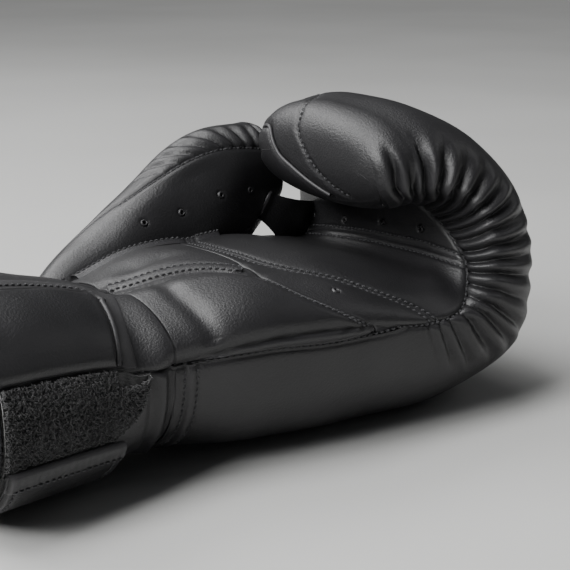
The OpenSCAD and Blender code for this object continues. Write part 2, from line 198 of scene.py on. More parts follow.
def thumb_outer(t, a):
    """The thumb's leather face at station t and section angle a: 0 is away from the fist, 90 the top."""
    t, a = np.broadcast_arrays(np.asarray(t, float), np.radians(np.asarray(a, float)))
    over = np.clip(t - THUMB_END, 0, 1)
    on = np.minimum(t, THUMB_END)
    s = row(THUMB, on)
    d = unit((row(THUMB, on + 0.02) - row(THUMB, on - 0.02))[..., :3])
    up = unit(np.cross(d, [0, 1, 0]))
    side = np.cross(up, d)
    k = np.maximum(np.cos(np.pi / 2 * over), 0.02)
    w = s[..., 4] * k * power(np.cos(a), 2 / 2.4) * (1 - 0.22 * np.sin(a))
    h = s[..., 3] * k * power(np.sin(a), 2 / 2.4)
    cap = (THUMB_CAP * np.sin(np.pi / 2 * over))[..., None]
    return s[..., :3] + d * cap + side * w[..., None] + up * h[..., None]


class Face:
    """A curved face with its outward normal, and the millimetres in one unit of each parameter."""

    def __init__(self, shape, du, dv, turn=1):
        self.shape, self.du, self.dv, self.turn = shape, du, dv, turn

    def at(self, u, v):
        p = self.shape(u, v)
        pu = (self.shape(u + self.du, v) - self.shape(u - self.du, v)) / (2 * self.du)
        pv = (self.shape(u, v + self.dv) - self.shape(u, v - self.dv)) / (2 * self.dv)
        n = unit(np.cross(pu, pv)) * self.turn
        return p, n, np.linalg.norm(pu, axis=-1), np.linalg.norm(pv, axis=-1)


mitt_face = Face(mitt_outer, 0.01, 0.5)


def cuff_skin(x, a):
    """The cuff's face, drawn over at the wrist to meet the mitt's first section."""
    w = step((np.asarray(x, float) + 92) / 19)[..., None]
    return cuff_outer(x, a) + w * (mitt_outer(0.03, a) - cuff_outer(-73.3, a))


cuff_face = Face(cuff_skin, 0.2, 0.5)
thumb_face = Face(thumb_outer, 0.01, 0.5, turn=-1)


def softened(line, reach, spread):
    """A row of values blurred over reach neighbours on each side."""
    kernel = np.exp(-0.5 * (np.arange(-reach, reach + 1) / spread) ** 2)
    return np.convolve(np.pad(line, reach, mode="edge"), kernel / kernel.sum(), "valid")


def rounded(d, radius):
    """Height, from 0 to 1, of a round edge at d millimetres in from it."""
    return np.sqrt(1 - (1 - np.clip(d / radius, 0, 1)) ** 2)


def waves(p, size, seed, n=7):
    """Soft, smooth unevenness between about -1 and 1, with humps about size millimetres across."""
    r = np.random.default_rng(seed)
    k = unit(r.normal(size=(n, 3))) * (2 * np.pi / size) * r.uniform(0.6, 1.5, (n, 1))
    return np.sin(p @ k.T + r.uniform(0, 6.28, n)).sum(-1) / math.sqrt(n) * 0.8


def sewn_edge(d, depth=2.0, reach=3.5):
    """How far a panel turns down towards a seam that is d millimetres away."""
    x = 1 - np.clip(d / reach, 0, 1)
    return -depth * (1 - np.sqrt(np.maximum(1 - x * x, 0)))


def groove(d, depth=0.8, width=1.1):
    return -depth * np.exp(-((d / width) ** 2))


# ---- meshes ---------------------------------------------------------------------------------------

def make(name, verts, faces, material, body=None):
    """A smooth mesh from drawing-frame points and a list of face arrays, riding on a body if named."""
    mesh = bpy.data.meshes.new(name)
    mesh.from_pydata(place(verts).tolist(), [], [f for part in faces for f in np.asarray(part).tolist()])
    mesh.validate()
    obj = bpy.data.objects.new(name, mesh)
    bpy.context.scene.collection.objects.link(obj)
    mesh.materials.append(material)
    mesh.shade_smooth()
    if body:
        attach(obj, body)
    return obj


def grid_faces(n, m, start=0, flip=False, ring=False):
    """Quads of an n by m grid of points. ring joins its last column to its first."""
    i, j = np.meshgrid(np.arange(n - 1), np.arange(m if ring else m - 1), indexing="ij")
    k = (j + 1) % m
    quads = np.stack([i * m + j, (i + 1) * m + j, (i + 1) * m + k, i * m + k], -1).reshape(-1, 4) + start
    return quads[:, ::-1] if flip else quads


def strip(fine, coarse, ratio):
    """Triangles between a fine edge and a coarse one with ratio fine steps to a coarse step."""
    tris = []
    for j in range(len(coarse) - 1):
        at, half = j * ratio, ratio // 2
        for i in range(ratio):
            tris.append([fine[at + i], fine[at + i + 1], coarse[j] if i < half else coarse[j + 1]])
        tris.append([coarse[j], fine[at + half], coarse[j + 1]])
    return np.array(tris)


def slab(outer, inner, ratio=1):
    """Points and faces of the closed solid between a grid and an inner one that is ratio times coarser."""
    n, m = outer.shape[:2]
    nn, mm = inner.shape[:2]
    o = np.arange(n * m).reshape(n, m)
    e = np.arange(nn * mm).reshape(nn, mm) + n * m
    sides = ((o[0], e[0]), (o[:, -1], e[:, -1]), (o[-1, ::-1], e[-1, ::-1]), (o[::-1, 0], e[::-1, 0]))
    faces = [grid_faces(n, m), grid_faces(nn, mm, n * m, flip=True)]
    faces += [strip(a, b, ratio)[:, ::-1] for a, b in sides]
    return np.concatenate([outer.reshape(-1, 3), inner.reshape(-1, 3)]), faces


def faces_out(verts, faces):
    """The same faces, turned if the solid is inside out."""
    volume = 0
    for part in faces:
        for k in range(1, part.shape[1] - 1):
            a, b, c = verts[part[:, 0]], verts[part[:, k]], verts[part[:, k + 1]]
            volume += (np.cross(a, b) * c).sum()
    return faces if volume > 0 else [part[:, ::-1] for part in faces]


def sheet(name, outer, inner, material, body=None, ratio=1):
    verts, faces = slab(outer, inner, ratio)
    return make(name, verts, faces_out(verts, faces), material, body)


def tube(path, radius, sides=8, ring=False, flat=1.0, up=None):
    """Points and quads of a round or flattened cord along a path. radius may vary along it."""
    path = np.asarray(path, float)
    n = len(path)
    ahead = np.roll(path, -1, 0) if ring else np.vstack([path[1:], 2 * path[-1:] - path[-2:-1]])
    behind = np.roll(path, 1, 0) if ring else np.vstack([2 * path[:1] - path[1:2], path[:-1]])
    d = unit(ahead - behind)
    if up is None:
        up = np.tile([0.13, 0.21, 0.97], (n, 1))
    v = unit(up - (up * d).sum(-1, keepdims=True) * d)
    u = np.cross(d, v)
    k = np.linspace(0, 2 * np.pi, sides, endpoint=False)
    r = np.broadcast_to(radius, (n,))[:, None, None]
    c, s = np.cos(k)[None, :, None], np.sin(k)[None, :, None]
    points = path[:, None] + r * (u[:, None] * c + flat * v[:, None] * s)
    verts = points.reshape(-1, 3)
    if ring:
        i, j = np.meshgrid(np.arange(n), np.arange(sides), indexing="ij")
        quads = np.stack([i * sides + j, ((i + 1) % n) * sides + j, ((i + 1) % n) * sides + (j + 1) % sides,
                          i * sides + (j + 1) % sides], -1).reshape(-1, 4)
        return verts, [quads]
    quads = grid_faces(n, sides, ring=True)
    centres = np.stack([path[0] - d[0] * 0.3 * r[0, 0], path[-1] + d[-1] * 0.3 * r[-1, 0]])
    k = np.arange(sides)
    first = np.stack([np.full(sides, n * sides), (k + 1) % sides, k], -1)
    end = (n - 1) * sides
    last = np.stack([np.full(sides, n * sides + 1), end + k, end + (k + 1) % sides], -1)
    return np.vstack([verts, centres]), [quads, first, last]


def cord(name, path, radius, material, body=None, **how):
    verts, faces = tube(path, radius, **how)
    return make(name, verts, faces_out(verts, faces), material, body)


def resample(path, spacing):
    """Points along a polyline at even spacing."""
    path = np.asarray(path, float)
    s = np.r_[0, np.cumsum(np.linalg.norm(np.diff(path, axis=0), axis=1))]
    n = max(2, int(round(s[-1] / spacing)) + 1)
    at = np.linspace(0, s[-1], n)
    return np.stack([np.interp(at, s, path[:, k]) for k in range(path.shape[1])], -1), at


def smooth_line(knots, n=160):
    """A smooth line through given knots in parameter space."""
    knots = np.asarray(knots, float)
    return row(knots, np.linspace(0, len(knots) - 1, n))


def rod_faces(count, rings, sides):
    """Sides and ends of many separate small rods, each with the same number of rings of points."""
    k = np.arange(sides)
    quads, ends = [], []
    for base in range(0, count * rings * sides, rings * sides):
        quads.append(grid_faces(rings, sides, base, ring=True))
        ends += [base + k, base + (rings - 1) * sides + k[::-1]]
    return [np.concatenate(quads), np.array(ends)]


# place along a stitch, and its thickness there
STITCH = np.array([[-0.5, 0.35], [-0.32, 0.9], [0, 1.0], [0.32, 0.9], [0.5, 0.35]])


def stitches(name, points, normals, body=None, pitch=2.6, length=1.75, radius=0.46, sink=-0.2, material=None):
    """A row of thread stitches, each a small rounded bar bedded in the leather."""
    both, at = resample(np.hstack([points, normals]), 0.4)
    sides, rings = 6, len(STITCH)
    turn = np.linspace(0, 2 * np.pi, sides, endpoint=False)
    verts = []
    for mid in np.arange(pitch / 2, at[-1], pitch):
        p = np.array([np.interp(mid, at, both[:, k]) for k in range(6)])
        q = np.array([np.interp(mid + 0.4, at, both[:, k]) - np.interp(mid - 0.4, at, both[:, k])
                      for k in range(3)])
        d = unit(q)
        n = unit(p[3:] - (p[3:] @ d) * d)
        side = np.cross(d, n)
        for along, wide in STITCH:
            centre = p[:3] + d * along * length - n * (sink + 0.3 * (2 * along) ** 2)
            verts.append(centre + radius * wide * (side * np.cos(turn)[:, None] + n * np.sin(turn)[:, None]))
    verts = np.concatenate(verts)
    faces = faces_out(verts, rod_faces(len(verts) // (rings * sides), rings, sides))
    return make(name, verts, faces, material or THREAD, body)


# ---- materials ------------------------------------------------------------------------------------

def node_material(name):
    m = bpy.data.materials.new(name)
    m.use_nodes = True
    tree = m.node_tree
    return m, tree, tree.nodes["Principled BSDF"]


def ramp(tree, source, stops):
    r = tree.nodes.new("ShaderNodeValToRGB")
    tree.links.new(source, r.inputs["Fac"])
    elements = r.color_ramp.elements
    while len(elements) < len(stops):
        elements.new(0.5)
    for e, (at, colour) in zip(elements, stops):
        e.position = at
        e.color = (*colour, 1)
    return r.outputs["Color"]


def noise(tree, scale, detail=3.0, rough=0.55, kind="ShaderNodeTexNoise", stretch=None):
    coord = tree.nodes.new("ShaderNodeTexCoord")
    source = coord.outputs["Object"]
    if stretch:
        mapping = tree.nodes.new("ShaderNodeMapping")
        mapping.inputs["Scale"].default_value = stretch
        tree.links.new(source, mapping.inputs["Vector"])
        source = mapping.outputs["Vector"]
    n = tree.nodes.new(kind)
    n.inputs["Scale"].default_value = scale
    for key, value in (("Detail", detail), ("Roughness", rough)):
        if key in n.inputs:
            n.inputs[key].default_value = value
    tree.links.new(source, n.inputs["Vector"])
    return n


def bump(tree, shader, heights, distance, strength):
    """Chains bump nodes, one for each height."""
    last = None
    for h, s in zip(heights, strength):
        b = tree.nodes.new("ShaderNodeBump")
        b.inputs["Distance"].default_value = distance
        b.inputs["Strength"].default_value = s
        tree.links.new(h, b.inputs["Height"])
        if last:
            tree.links.new(last, b.inputs["Normal"])
        last = b.outputs["Normal"]
    tree.links.new(last, shader.inputs["Normal"])


def leather(name, dark, light, rough, grain=0.35, coat=0.12):
    """Coated synthetic leather: a fine pebbled grain, slow changes of gloss, and worn high spots."""
    m, tree, shader = node_material(name)
    slow = noise(tree, 26, 4.0, 0.6)
    colour = ramp(tree, slow.outputs["Fac"], [(0.3, dark), (0.7, light)])
    edges = tree.nodes.new("ShaderNodeNewGeometry")
    worn = ramp(tree, edges.outputs["Pointiness"], [(0.5, (0, 0, 0)), (0.58, (1, 1, 1))])
    mix = tree.nodes.new("ShaderNodeMix")
    mix.data_type = "RGBA"
    tree.links.new(worn, mix.inputs["Factor"])
    tree.links.new(colour, mix.inputs["A"])
    mix.inputs["B"].default_value = (*[min(1, 1.55 * c) for c in light], 1)
    tree.links.new(mix.outputs["Result"], shader.inputs["Base Color"])
    gloss = noise(tree, 90, 5.0, 0.65)
    value = tree.nodes.new("ShaderNodeMapRange")
    value.inputs["To Min"].default_value = rough - 0.06
    value.inputs["To Max"].default_value = rough + 0.07
    tree.links.new(gloss.outputs["Fac"], value.inputs["Value"])
    tree.links.new(value.outputs["Result"], shader.inputs["Roughness"])
    cells = noise(tree, 1250, kind="ShaderNodeTexVoronoi")
    cells.feature = "SMOOTH_F1"
    fine = noise(tree, 700, 3.0, 0.6)
    bump(tree, shader, [cells.outputs["Distance"], fine.outputs["Fac"]], 0.00035, [grain, grain * 0.7])
    shader.inputs["Specular IOR Level"].default_value = 0.5
    shader.inputs["Coat Weight"].default_value = coat
    shader.inputs["Coat Roughness"].default_value = 0.32
    return m


def thread(name, colour):
    m, tree, shader = node_material(name)
    twist = noise(tree, 2600, 2.0, kind="ShaderNodeTexWave")
    tint = ramp(tree, twist.outputs["Fac"], [(0.2, tuple(0.5 * c for c in colour)), (0.8, colour)])
    tree.links.new(tint, shader.inputs["Base Color"])
    bump(tree, shader, [twist.outputs["Fac"]], 0.0003, [0.6])
    shader.inputs["Roughness"].default_value = 0.55
    return m


def cloth(name, dark, light, scale=900, rough=0.85):
    """A woven lining: two crossed bands of thread and soft colour change."""
    m, tree, shader = node_material(name)
    warp = noise(tree, scale, 1.0, kind="ShaderNodeTexWave", stretch=(1, 0.05, 0.05))
    weft = noise(tree, scale, 1.0, kind="ShaderNodeTexWave", stretch=(0.05, 1, 1))
    slow = noise(tree, 40, 4.0)
    tint = ramp(tree, slow.outputs["Fac"], [(0.3, dark), (0.7, light)])
    tree.links.new(tint, shader.inputs["Base Color"])
    bump(tree, shader, [warp.outputs["Fac"], weft.outputs["Fac"]], 0.0004, [0.5, 0.5])
    shader.inputs["Roughness"].default_value = rough
    shader.inputs["Sheen Weight"].default_value = 0.3
    return m


def foam(name, dark, light):
    """Open-cell foam: pores and soft colour change."""
    m, tree, shader = node_material(name)
    pores = noise(tree, 900, kind="ShaderNodeTexVoronoi")
    tint = ramp(tree, pores.outputs["Distance"], [(0.1, dark), (0.6, light)])
    tree.links.new(tint, shader.inputs["Base Color"])
    bump(tree, shader, [pores.outputs["Distance"]], 0.0006, [0.7])
    shader.inputs["Roughness"].default_value = 0.95
    return m


LEATHER = leather("leather_outer", (0.0105, 0.0105, 0.0115), (0.0165, 0.016, 0.0175), 0.43)
SATIN = leather("leather_satin", (0.0125, 0.0125, 0.0135), (0.019, 0.0185, 0.020), 0.40)
# trim leather, lighter than the body leather: partly its own tone, partly painted highlight for the bright
# line where piping and bands catch the light
TRIM_AND_HIGHLIGHT = leather("leather_trim", (0.022, 0.022, 0.023), (0.032, 0.031, 0.033), 0.5, grain=0.25)
# near-black leather: painted shade for the seam welts and vent bottoms, which lie in shade
PAINTED_SHADE = leather("leather_painted_shade", (0.004, 0.004, 0.0045), (0.007, 0.007, 0.0075), 0.6)
THREAD = thread("thread_black", (0.075, 0.075, 0.08))
LINING = cloth("lining_cloth", (0.012, 0.012, 0.013), (0.022, 0.022, 0.024))
ELASTIC = cloth("elastic_web", (0.014, 0.014, 0.015), (0.03, 0.03, 0.032), 500)
FOAM_GREY = foam("foam_grey", (0.08, 0.08, 0.085), (0.16, 0.16, 0.17))
FOAM_CREAM = foam("foam_cream", (0.38, 0.36, 0.3), (0.62, 0.59, 0.5))
PILE = cloth("loop_pile", (0.007, 0.007, 0.007), (0.03, 0.03, 0.031), 1400, 0.9)
# lighter loops: painted glints, standing for light catching the loop tips
PILE_GLINTS = cloth("loop_pile_painted_glints", (0.03, 0.03, 0.031), (0.1, 0.1, 0.102), 1100, 0.6)
HOOKS = cloth("hook_tape", (0.006, 0.006, 0.0065), (0.014, 0.014, 0.015), 700, 0.6)


# ---- gathers --------------------------------------------------------------------------------------

class Gathers:
    """Valleys that fan out from a seam. Each row is a valley: the station where it leaves the seam,
    its station part of the way and far off, its depth in mm, and the loop angle where it ends."""

    angles = np.arange(60.0, 270.0, 1.0)

    def __init__(self, rows, seam, middle, far):
        self.rows = np.asarray(rows, float)
        self.start = seam(self.rows[:, 0])
        lines = []
        for (t0, t1, t2, _, _), s in zip(self.rows, self.start):
            bend = [(middle, t1)] if s > middle + 6 else []
            knots = [(far - 40, t2), (far, t2)] + bend + [(s, t0), (s + 40, t0)]
            lines.append(softened(np.interp(self.angles, *zip(*knots)), 12, 5.0))
        self.lines = np.array(lines)

    def depth(self, t, a, mm):
        """Displacement in mm at station t and loop angle a, where one station is mm long."""
        n = len(self.rows)
        place_of = np.stack([np.interp(a, self.angles, line) for line in self.lines])
        low = np.clip((place_of <= t).sum(0) - 1, 0, n - 2)
        out = np.zeros_like(t)
        pick = lambda table, i: np.take_along_axis(table, i[None], 0)[0]
        gap = np.maximum((pick(place_of, low + 1) - pick(place_of, low)) * mm, 0.3)
        for i, side in ((low, 1), (low + 1, -1)):
            x = np.maximum((t - pick(place_of, i)) * side, 0) * mm
            f = np.clip((self.start[i] - a) / (self.start[i] - self.rows[i, 4]), 0, 1.2)
            deep = 1.5 * self.rows[i, 3] * (0.62 + 0.38 * step(f / 0.3)) * (1 - step((f - 0.55) / 0.5))
            wide = np.minimum(gap / 2, 2.6 + 1.5 * self.rows[i, 3])
            deep = np.minimum(deep, 0.55 * gap)
            sharp = 0.75 + 0.9 * np.clip(f, 0, 1)
            out -= deep * (1 - np.sin(np.pi / 2 * np.clip(x / wide, 0, 1)) ** sharp)
            out += 0.22 * deep
        return out


LITTLE_GATHERS = Gathers([
    (2.62, 2.62, 2.64, 0.0, 170),
    (2.82, 2.86, 2.90, 0.6, 168),
    (2.97, 3.00, 3.10, 1.2, 158),
    (3.14, 3.20, 3.30, 1.6, 152),
    (3.45, 3.50, 3.60, 2.0, 146),
    (3.79, 3.80, 3.90, 1.9, 142),
    (4.08, 4.08, 4.18, 2.3, 138),
    (4.37, 4.44, 4.55, 2.0, 138),
    (4.64, 4.80, 4.87, 2.4, 134),
    (4.86, 5.10, 5.18, 1.9, 138),
    (5.12, 5.40, 5.46, 2.4, 134),
    (5.36, 5.74, 5.78, 2.0, 140),
    (5.56, 6.05, 6.16, 2.5, 144),
    (5.74, 6.40, 6.50, 2.6, 150),
    (5.92, 6.86, 6.95, 2.8, 148),
    (6.10, 7.42, 7.46, 2.9, 150),
    (6.30, 8.00, 8.04, 3.4, 142),
    (6.70, 8.55, 8.72, 3.6, 138),
    (7.50, 8.98, 9.10, 2.8, 160),
    (8.30, 9.28, 9.36, 3.0, 142),
    (9.00, 9.60, 9.66, 0.0, 170),
    (9.60, 9.95, 9.97, 0.0, 200),
], seam_line, 197, 160)

# the thumb side is gathered the same way; its loop angles are counted as 180 less the angle
THUMB_SIDE_GATHERS = Gathers(
    [(2.7, 2.7, 2.7, 0.0, 150)]
    + [(2.95 + 0.29 * i, 3.05 + 0.36 * i, 3.05 + 0.37 * i, 1.3 + 0.5 * math.sin(2.4 * i) ** 2 + 0.06 * i,
        138 + 6 * math.sin(1.7 * i)) for i in range(17)]
    + [(9.3, 9.6, 9.7, 0.0, 150)], lambda t: 180 + 0 * t, 160, 150)


def gathers(t, a, mm):
    return LITTLE_GATHERS.depth(t, a, mm) + THUMB_SIDE_GATHERS.depth(t, 180 - a, mm) * (a < 90)


# ---- mitt -----------------------------------------------------------------------------------------

def on_tip(knots):
    """A line over the fingertips, with its given points dropped on to the mitt's face."""
    line, _ = resample(smooth_line(knots, 60), 0.5)
    t, a = np.meshgrid(np.linspace(7.7, 9.99, 160), np.arange(0, 360, 1.5), indexing="ij")
    near = mitt_outer(t, a).reshape(-1, 3)
    return np.array([near[np.linalg.norm(near - q, axis=1).argmin()] for q in line])


# the piping round the end of the fingertips, and the seam beside it
TIP_PIPING = on_tip([(46, 49, 103), (38, 44, 111), (32, 38, 116), (30, 33, 116), (28, 29, 111), (28, 24, 105),
                     (29, 16, 101), (30, 6, 96), (34, -6, 92)])
TIP_SEAM = on_tip([(57, 53, 104), (60, 50, 115), (59, 41, 127), (54, 29, 131), (45, 20, 131), (37, 17, 127),
                   (32, 15, 124), (29, 12, 117), (28, 7, 111), (28, 1, 104), (29, -9, 97), (33, -20, 93)])


def away_from(p, line, where):
    """Distance from a line of points, worked out only where it is asked for."""
    out = np.full(p.shape[:-1], 99.0)
    q = p[where]
    if len(q):
        out[where] = np.min([np.linalg.norm(q - c, axis=-1) for c in line[::2]], axis=0)
    return out


def shell_lift(t, a, p, mt, ma):
    """How far the shell's leather stands off the CAD face, in mm."""
    to_seam = np.abs(seam_line(t) - a) * ma
    to_thumb_seam = np.minimum(a, 360 - a) * ma
    calm = 1 - step((t - 9.4) / 0.45)
    lift = gathers(t, np.minimum(a, 268), mt) * calm
    lift += (groove(away_from(p, TIP_SEAM, t > 7.6), 1.1, 1.0)
             + groove(away_from(p, TIP_PIPING, t > 8.3), 1.2, 1.7))
    lift += sewn_edge(to_seam) * (1 - step((t - 9.1) / 0.3)) + sewn_edge(to_thumb_seam) * calm
    for ring in WRIST_RINGS:
        lift += groove((t - ring) * mt, 0.7, 0.9)
    lift += 0.9 * np.exp(-(((t - sum(WRIST_RINGS) / 2) * mt / 2.2) ** 2))
    return lift + waves(p, 42, 3) * 0.35 * calm


WRIST_RINGS = (0.13, 0.27)


def lifted(face, u, v, lift):
    p, n, mu, mv = face.at(u, v)
    return p + n * lift(u, v, p, mu, mv)[..., None], n


def rest_on_table(p):
    """Flattens what would sink below the table."""
    p = p.copy()
    p[..., 2] = np.maximum(p[..., 2], 0.02)
    return p


def shell_grid():
    """Stations and loop angles of the shell, which folds over the fingertips on to their palm side."""
    body = np.concatenate([np.linspace(0.02, 2.6, 90, endpoint=False),
                           np.linspace(2.6, 9, 330, endpoint=False)])
    tip = 9 + (1 - (1 - np.linspace(0, 1, 41)) ** 1.6) * 0.998
    under = tip[::-1][1:32]
    share = np.linspace(0, 1, 161)
    share = share - 0.3 * np.sin(2 * np.pi * share) / (2 * np.pi)
    t, s = np.meshgrid(np.concatenate([body, tip, under]), share, indexing="ij")
    a = (seam_line(t) - 0.25) * (1 - s) + 0.3 * s
    n = len(body) + len(tip)
    angle = np.radians(180 * (1 - share))
    fold = 360 - np.degrees(np.arccos(power(np.cos(angle), 2.3 / 2.6)))
    low = seam_line(t[n:]) + 0.25
    a[n:] = low + (359.7 - low) * (fold[None] - 180) / 180
    return t, a


def shell():
    t, a = shell_grid()
    outer, n = lifted(mitt_face, t, a, shell_lift)
    outer = rest_on_table(outer)
    k = 4
    core = mitt_outer(t, a) + (mitt_cavity(t, a) - mitt_outer(t, a)) * 0.3
    return sheet("shell_leather", outer[:489], core[:489:k, ::k], LEATHER, ratio=k)


SHELL = shell()
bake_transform(SHELL)
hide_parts("back_shell", "finger_shell", "back_foam_outer", "finger_foam_outer")


def tip_piping():
    centre = np.array([60, 0, 112.0])
    out = unit(TIP_PIPING - centre)
    even = np.ones(13) / 13
    soft = lambda v: np.stack([np.convolve(np.pad(v[:, k], 6, mode="edge"), even, "valid")
                               for k in range(3)], -1)
    # the piping's lighter leather is partly painted highlight
    obj = cord("tip_piping_leather", soft(TIP_PIPING - out * 0.25), 0.8, TRIM_AND_HIGHLIGHT, "fingers", sides=8)
    seam = soft(TIP_SEAM - unit(TIP_SEAM - centre) * 0.75)
    obj = stitches("tip_seam_stitch", seam, unit(TIP_SEAM - centre), "fingers")


tip_piping()


# ---- palm -----------------------------------------------------------------------------------------
# Lines across the palm, as station against loop angle.

def across(knots):
    """A smooth line of station against loop angle through a few knots."""
    a, t = np.array(sorted(knots)).T
    fine = np.arange(150.0, 371.0, 1.0)
    line = softened(np.interp(fine, a, t), 9, 4.0)
    return lambda angle: np.interp(angle, fine, line)


HEEL_END = across([(176, 2.26), (197, 1.85), (216, 1.56), (238, 1.40), (262, 1.42), (300, 1.46), (360, 1.5)])
GRIP_START = across([(176, 3.02), (189, 2.93), (207, 2.80), (220, 2.52), (234, 2.22), (244, 1.86), (256, 1.62),
                     (275, 1.60), (300, 1.66), (360, 1.7)])
GRIP_END = across([(212, 4.80), (224, 4.89), (250, 4.98), (270, 4.91), (291, 4.72), (328, 4.42),
                   (360, 4.3)])
STRIP_LINE = smooth_line([(0.04, 271.5), (0.25, 268), (0.5, 264.5), (0.8, 260.5), (1.08, 254.5),
                          (1.30, 246.5)])
DOUBLE = 2.4          # half the distance between the two rows of a double stitch


def strip_angle(t):
    return np.interp(t, STRIP_LINE[:, 0], STRIP_LINE[:, 1])


def palm_limit(t):
    return 359.6 - thumb_mouth(t)


def palm_lift(t, a, p, mt, ma):
    """Relief of the whole palm: the heel's lobe, the bulging grip and soft folds."""
    to_seam = (a - seam_at(t)) * ma
    to_heel = (HEEL_END(a) - t) * mt
    to_strip = (strip_angle(t) - a) * ma - 4
    calm = 1 - step((t - 8.6) / 0.8)
    lobe = 3.4 * step(to_heel / 15 + 0.25) * step(to_strip / 13) * step(to_seam / 9 + 0.3)
    lift = lobe * (to_heel > -2)
    start, end = (t - GRIP_START(a)) * mt, (GRIP_END(a) - t) * mt
    wide = np.maximum(start + end, 1)
    bar = np.clip(start / wide, 0, 1)
    lift += 4.6 * (np.sin(np.pi * bar) ** 0.75) * step(to_seam / 26 + 0.1) * (start > 0) * (end > 0)
    lift += groove(to_heel - 1.9, 0.5, 0.8) * step((236 - a) / 8)
    for d in (start, end):
        for side in (-DOUBLE, DOUBLE):
            lift += groove(d - side, 0.4, 0.9)
        lift += -0.5 * np.exp(-((d / 4.5) ** 2))
    lift += (groove((t - 0.30) * mt - 3 - 0.06 * np.abs(a - 235), 1.5, 4.0) * step((262 - a) / 12)
             * step((a - 186) / 8))
    lift += groove((a - 283 + 6 * t) * ma, 1.6, 5.5) * step((1.25 - t) / 0.4) * step((t - 0.2) / 0.4)
    lift += groove(np.abs(a - strip_angle(t)) * ma - 6.0, 0.9, 2.6) * step((1.5 - t) / 0.15)
    return lift + waves(p, 36, 11) * 0.45 * calm + sewn_edge(to_seam) * calm


def dimple(lift, p, places, depth=1.1, radius=1.7):
    for q in places:
        d = np.linalg.norm(p - q, axis=-1)
        lift = lift - depth * np.exp(-((d / radius) ** 4))
    return lift


def palm_panel(name, f0, f1, material, edges, nt, na, share=0.3, limit=palm_limit, vents=(),
               body="mitt", k=4):
    """A panel between two lines across the palm. edges tells how deep each of those ends turns down."""
    s, r = np.meshgrid(np.linspace(0, 1, nt), np.linspace(0, 1, na), indexing="ij")
    t = np.full_like(s, 0.5 * (f0(250.0) + f1(250.0)))
    for _ in range(12):
        low = seam_line(t) + 0.25
        a = low + (limit(t) - low) * r
        t = f0(a) + (f1(a) - f0(a)) * s
    p, n, mt, ma = mitt_face.at(t, a)
    lift = palm_lift(t, a, p, mt, ma)
    lift += sewn_edge((t - f0(a)) * mt, edges[0], 1.6) + sewn_edge((f1(a) - t) * mt, edges[1], 1.6)
    lift += sewn_edge((limit(t) - a) * ma, 1.5)
    lift = dimple(lift, p, vents)
    outer = p + n * lift[..., None]
    inner = (p + (mitt_cavity(t, a) - p) * share)[::k, ::k]
    return sheet(name, outer, inner, material, body, ratio=k)


def on_palm(t, a):
    """A point on the finished palm, and its normal."""
    p, n, mt, ma = mitt_face.at(t, a)
    return p + n * palm_lift(t, a, p, mt, ma)[..., None], n


GRIP_VENTS = [(5.02, 317), (5.16, 290), (5.42, 270), (5.50, 250)]
PALM_VENTS = [(1.99, 220)]
vent_points = [mitt_outer(t, a) for t, a in GRIP_VENTS + PALM_VENTS]

HEEL = palm_panel("heel_leather", lambda a: 0.02 + 0 * a, HEEL_END, LEATHER, (0.2, 0.9), 97, 193)
PALM = palm_panel("palm_leather", HEEL_END, GRIP_START, SATIN, (0.5, 0.4), 81, 193, vents=vent_points)
GRIP = palm_panel("grip_leather", GRIP_START, GRIP_END, SATIN, (0.4, 0.4), 241, 193)
CREASE = palm_panel("crease_leather", GRIP_END, lambda a: 9.5 + 0 * a, SATIN, (0.4, 0.3), 281, 161,
                    limit=lambda t: 359.6 + 0 * t, vents=vent_points, body=None)
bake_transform(CREASE)
for panel, nodes, finish, fill in (
        (HEEL, ("palm_heel_panel", "palm_foam"), "leather_outer", 0.8),
        (PALM, ("palm_panel",), "leather_satin", 0.6),
        (GRIP, ("grip_panel", "grip_bar"), "leather_satin", 0.85),
        (CREASE, ("finger_panel", "crease_foam", "finger_pad_foam"), "leather_satin", 0.6)):
    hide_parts(*nodes)


def vent(name, point, normal, body=None, radius=0.72, material=None):
    """A punched air hole with a turned rim: a small funnel whose inner wall and bottom are near-black, painted
    shade for the dark down the hole.
    """
    u = unit(np.cross(normal, [0.2, 0.9, 0.1]))
    v = np.cross(normal, u)
    rings = [(2.9, -0.9), (2.45, -0.25), (2.0, 0.22), (1.6, 0.3), (1.3, 0.1), (1.05, -0.5),
             (0.95, -1.3), (0.3, -1.5)]
    turn = np.linspace(0, 2 * np.pi, 24, endpoint=False)
    points = np.array([[point + radius * r * (u * math.cos(k) + v * math.sin(k)) * 0.9 + normal * z
                        for k in turn] for r, z in rings])
    back = points - normal * 0.8
    verts = np.concatenate([points.reshape(-1, 3), back.reshape(-1, 3)])
    n, m = len(rings), len(turn)
    k = np.arange(m)
    rim = np.stack([k, (k + 1) % m, n * m + (k + 1) % m, n * m + k], -1)
    base = (n - 1) * m
    hub = np.stack([base + k, base + n * m + k, base + n * m + (k + 1) % m, base + (k + 1) % m], -1)
    faces = [grid_faces(n, m, ring=True), grid_faces(n, m, n * m, flip=True, ring=True), rim, hub]
    obj = make(name, verts, faces_out(verts, faces), material or SATIN, body)
    # the funnel's inner wall and bottom take the near-black leather: painted shade
    obj.data.materials.append(PAINTED_SHADE)
    for poly in obj.data.polygons:
        if poly.index >= (n - 3) * m and poly.index < (n - 1) * m:
            poly.material_index = 1
    return obj


def punch(names, places, face, lift, body):
    """One vent for each place on a finished face."""
    for k, (u, v) in enumerate(places):
        p, n, mu, mv = face.at(np.array([float(u)]), np.array([float(v)]))
        base = (p + n * lift(np.array([float(u)]), np.array([float(v)]), p, mu, mv)[:, None])[0]
        obj = vent(f"{names}_{k + 1}", base + n[0] * 0.05, n[0], body)


punch("crease_vent", GRIP_VENTS, mitt_face, palm_lift, "mitt")
punch("palm_vent", PALM_VENTS, mitt_face, palm_lift, "mitt")


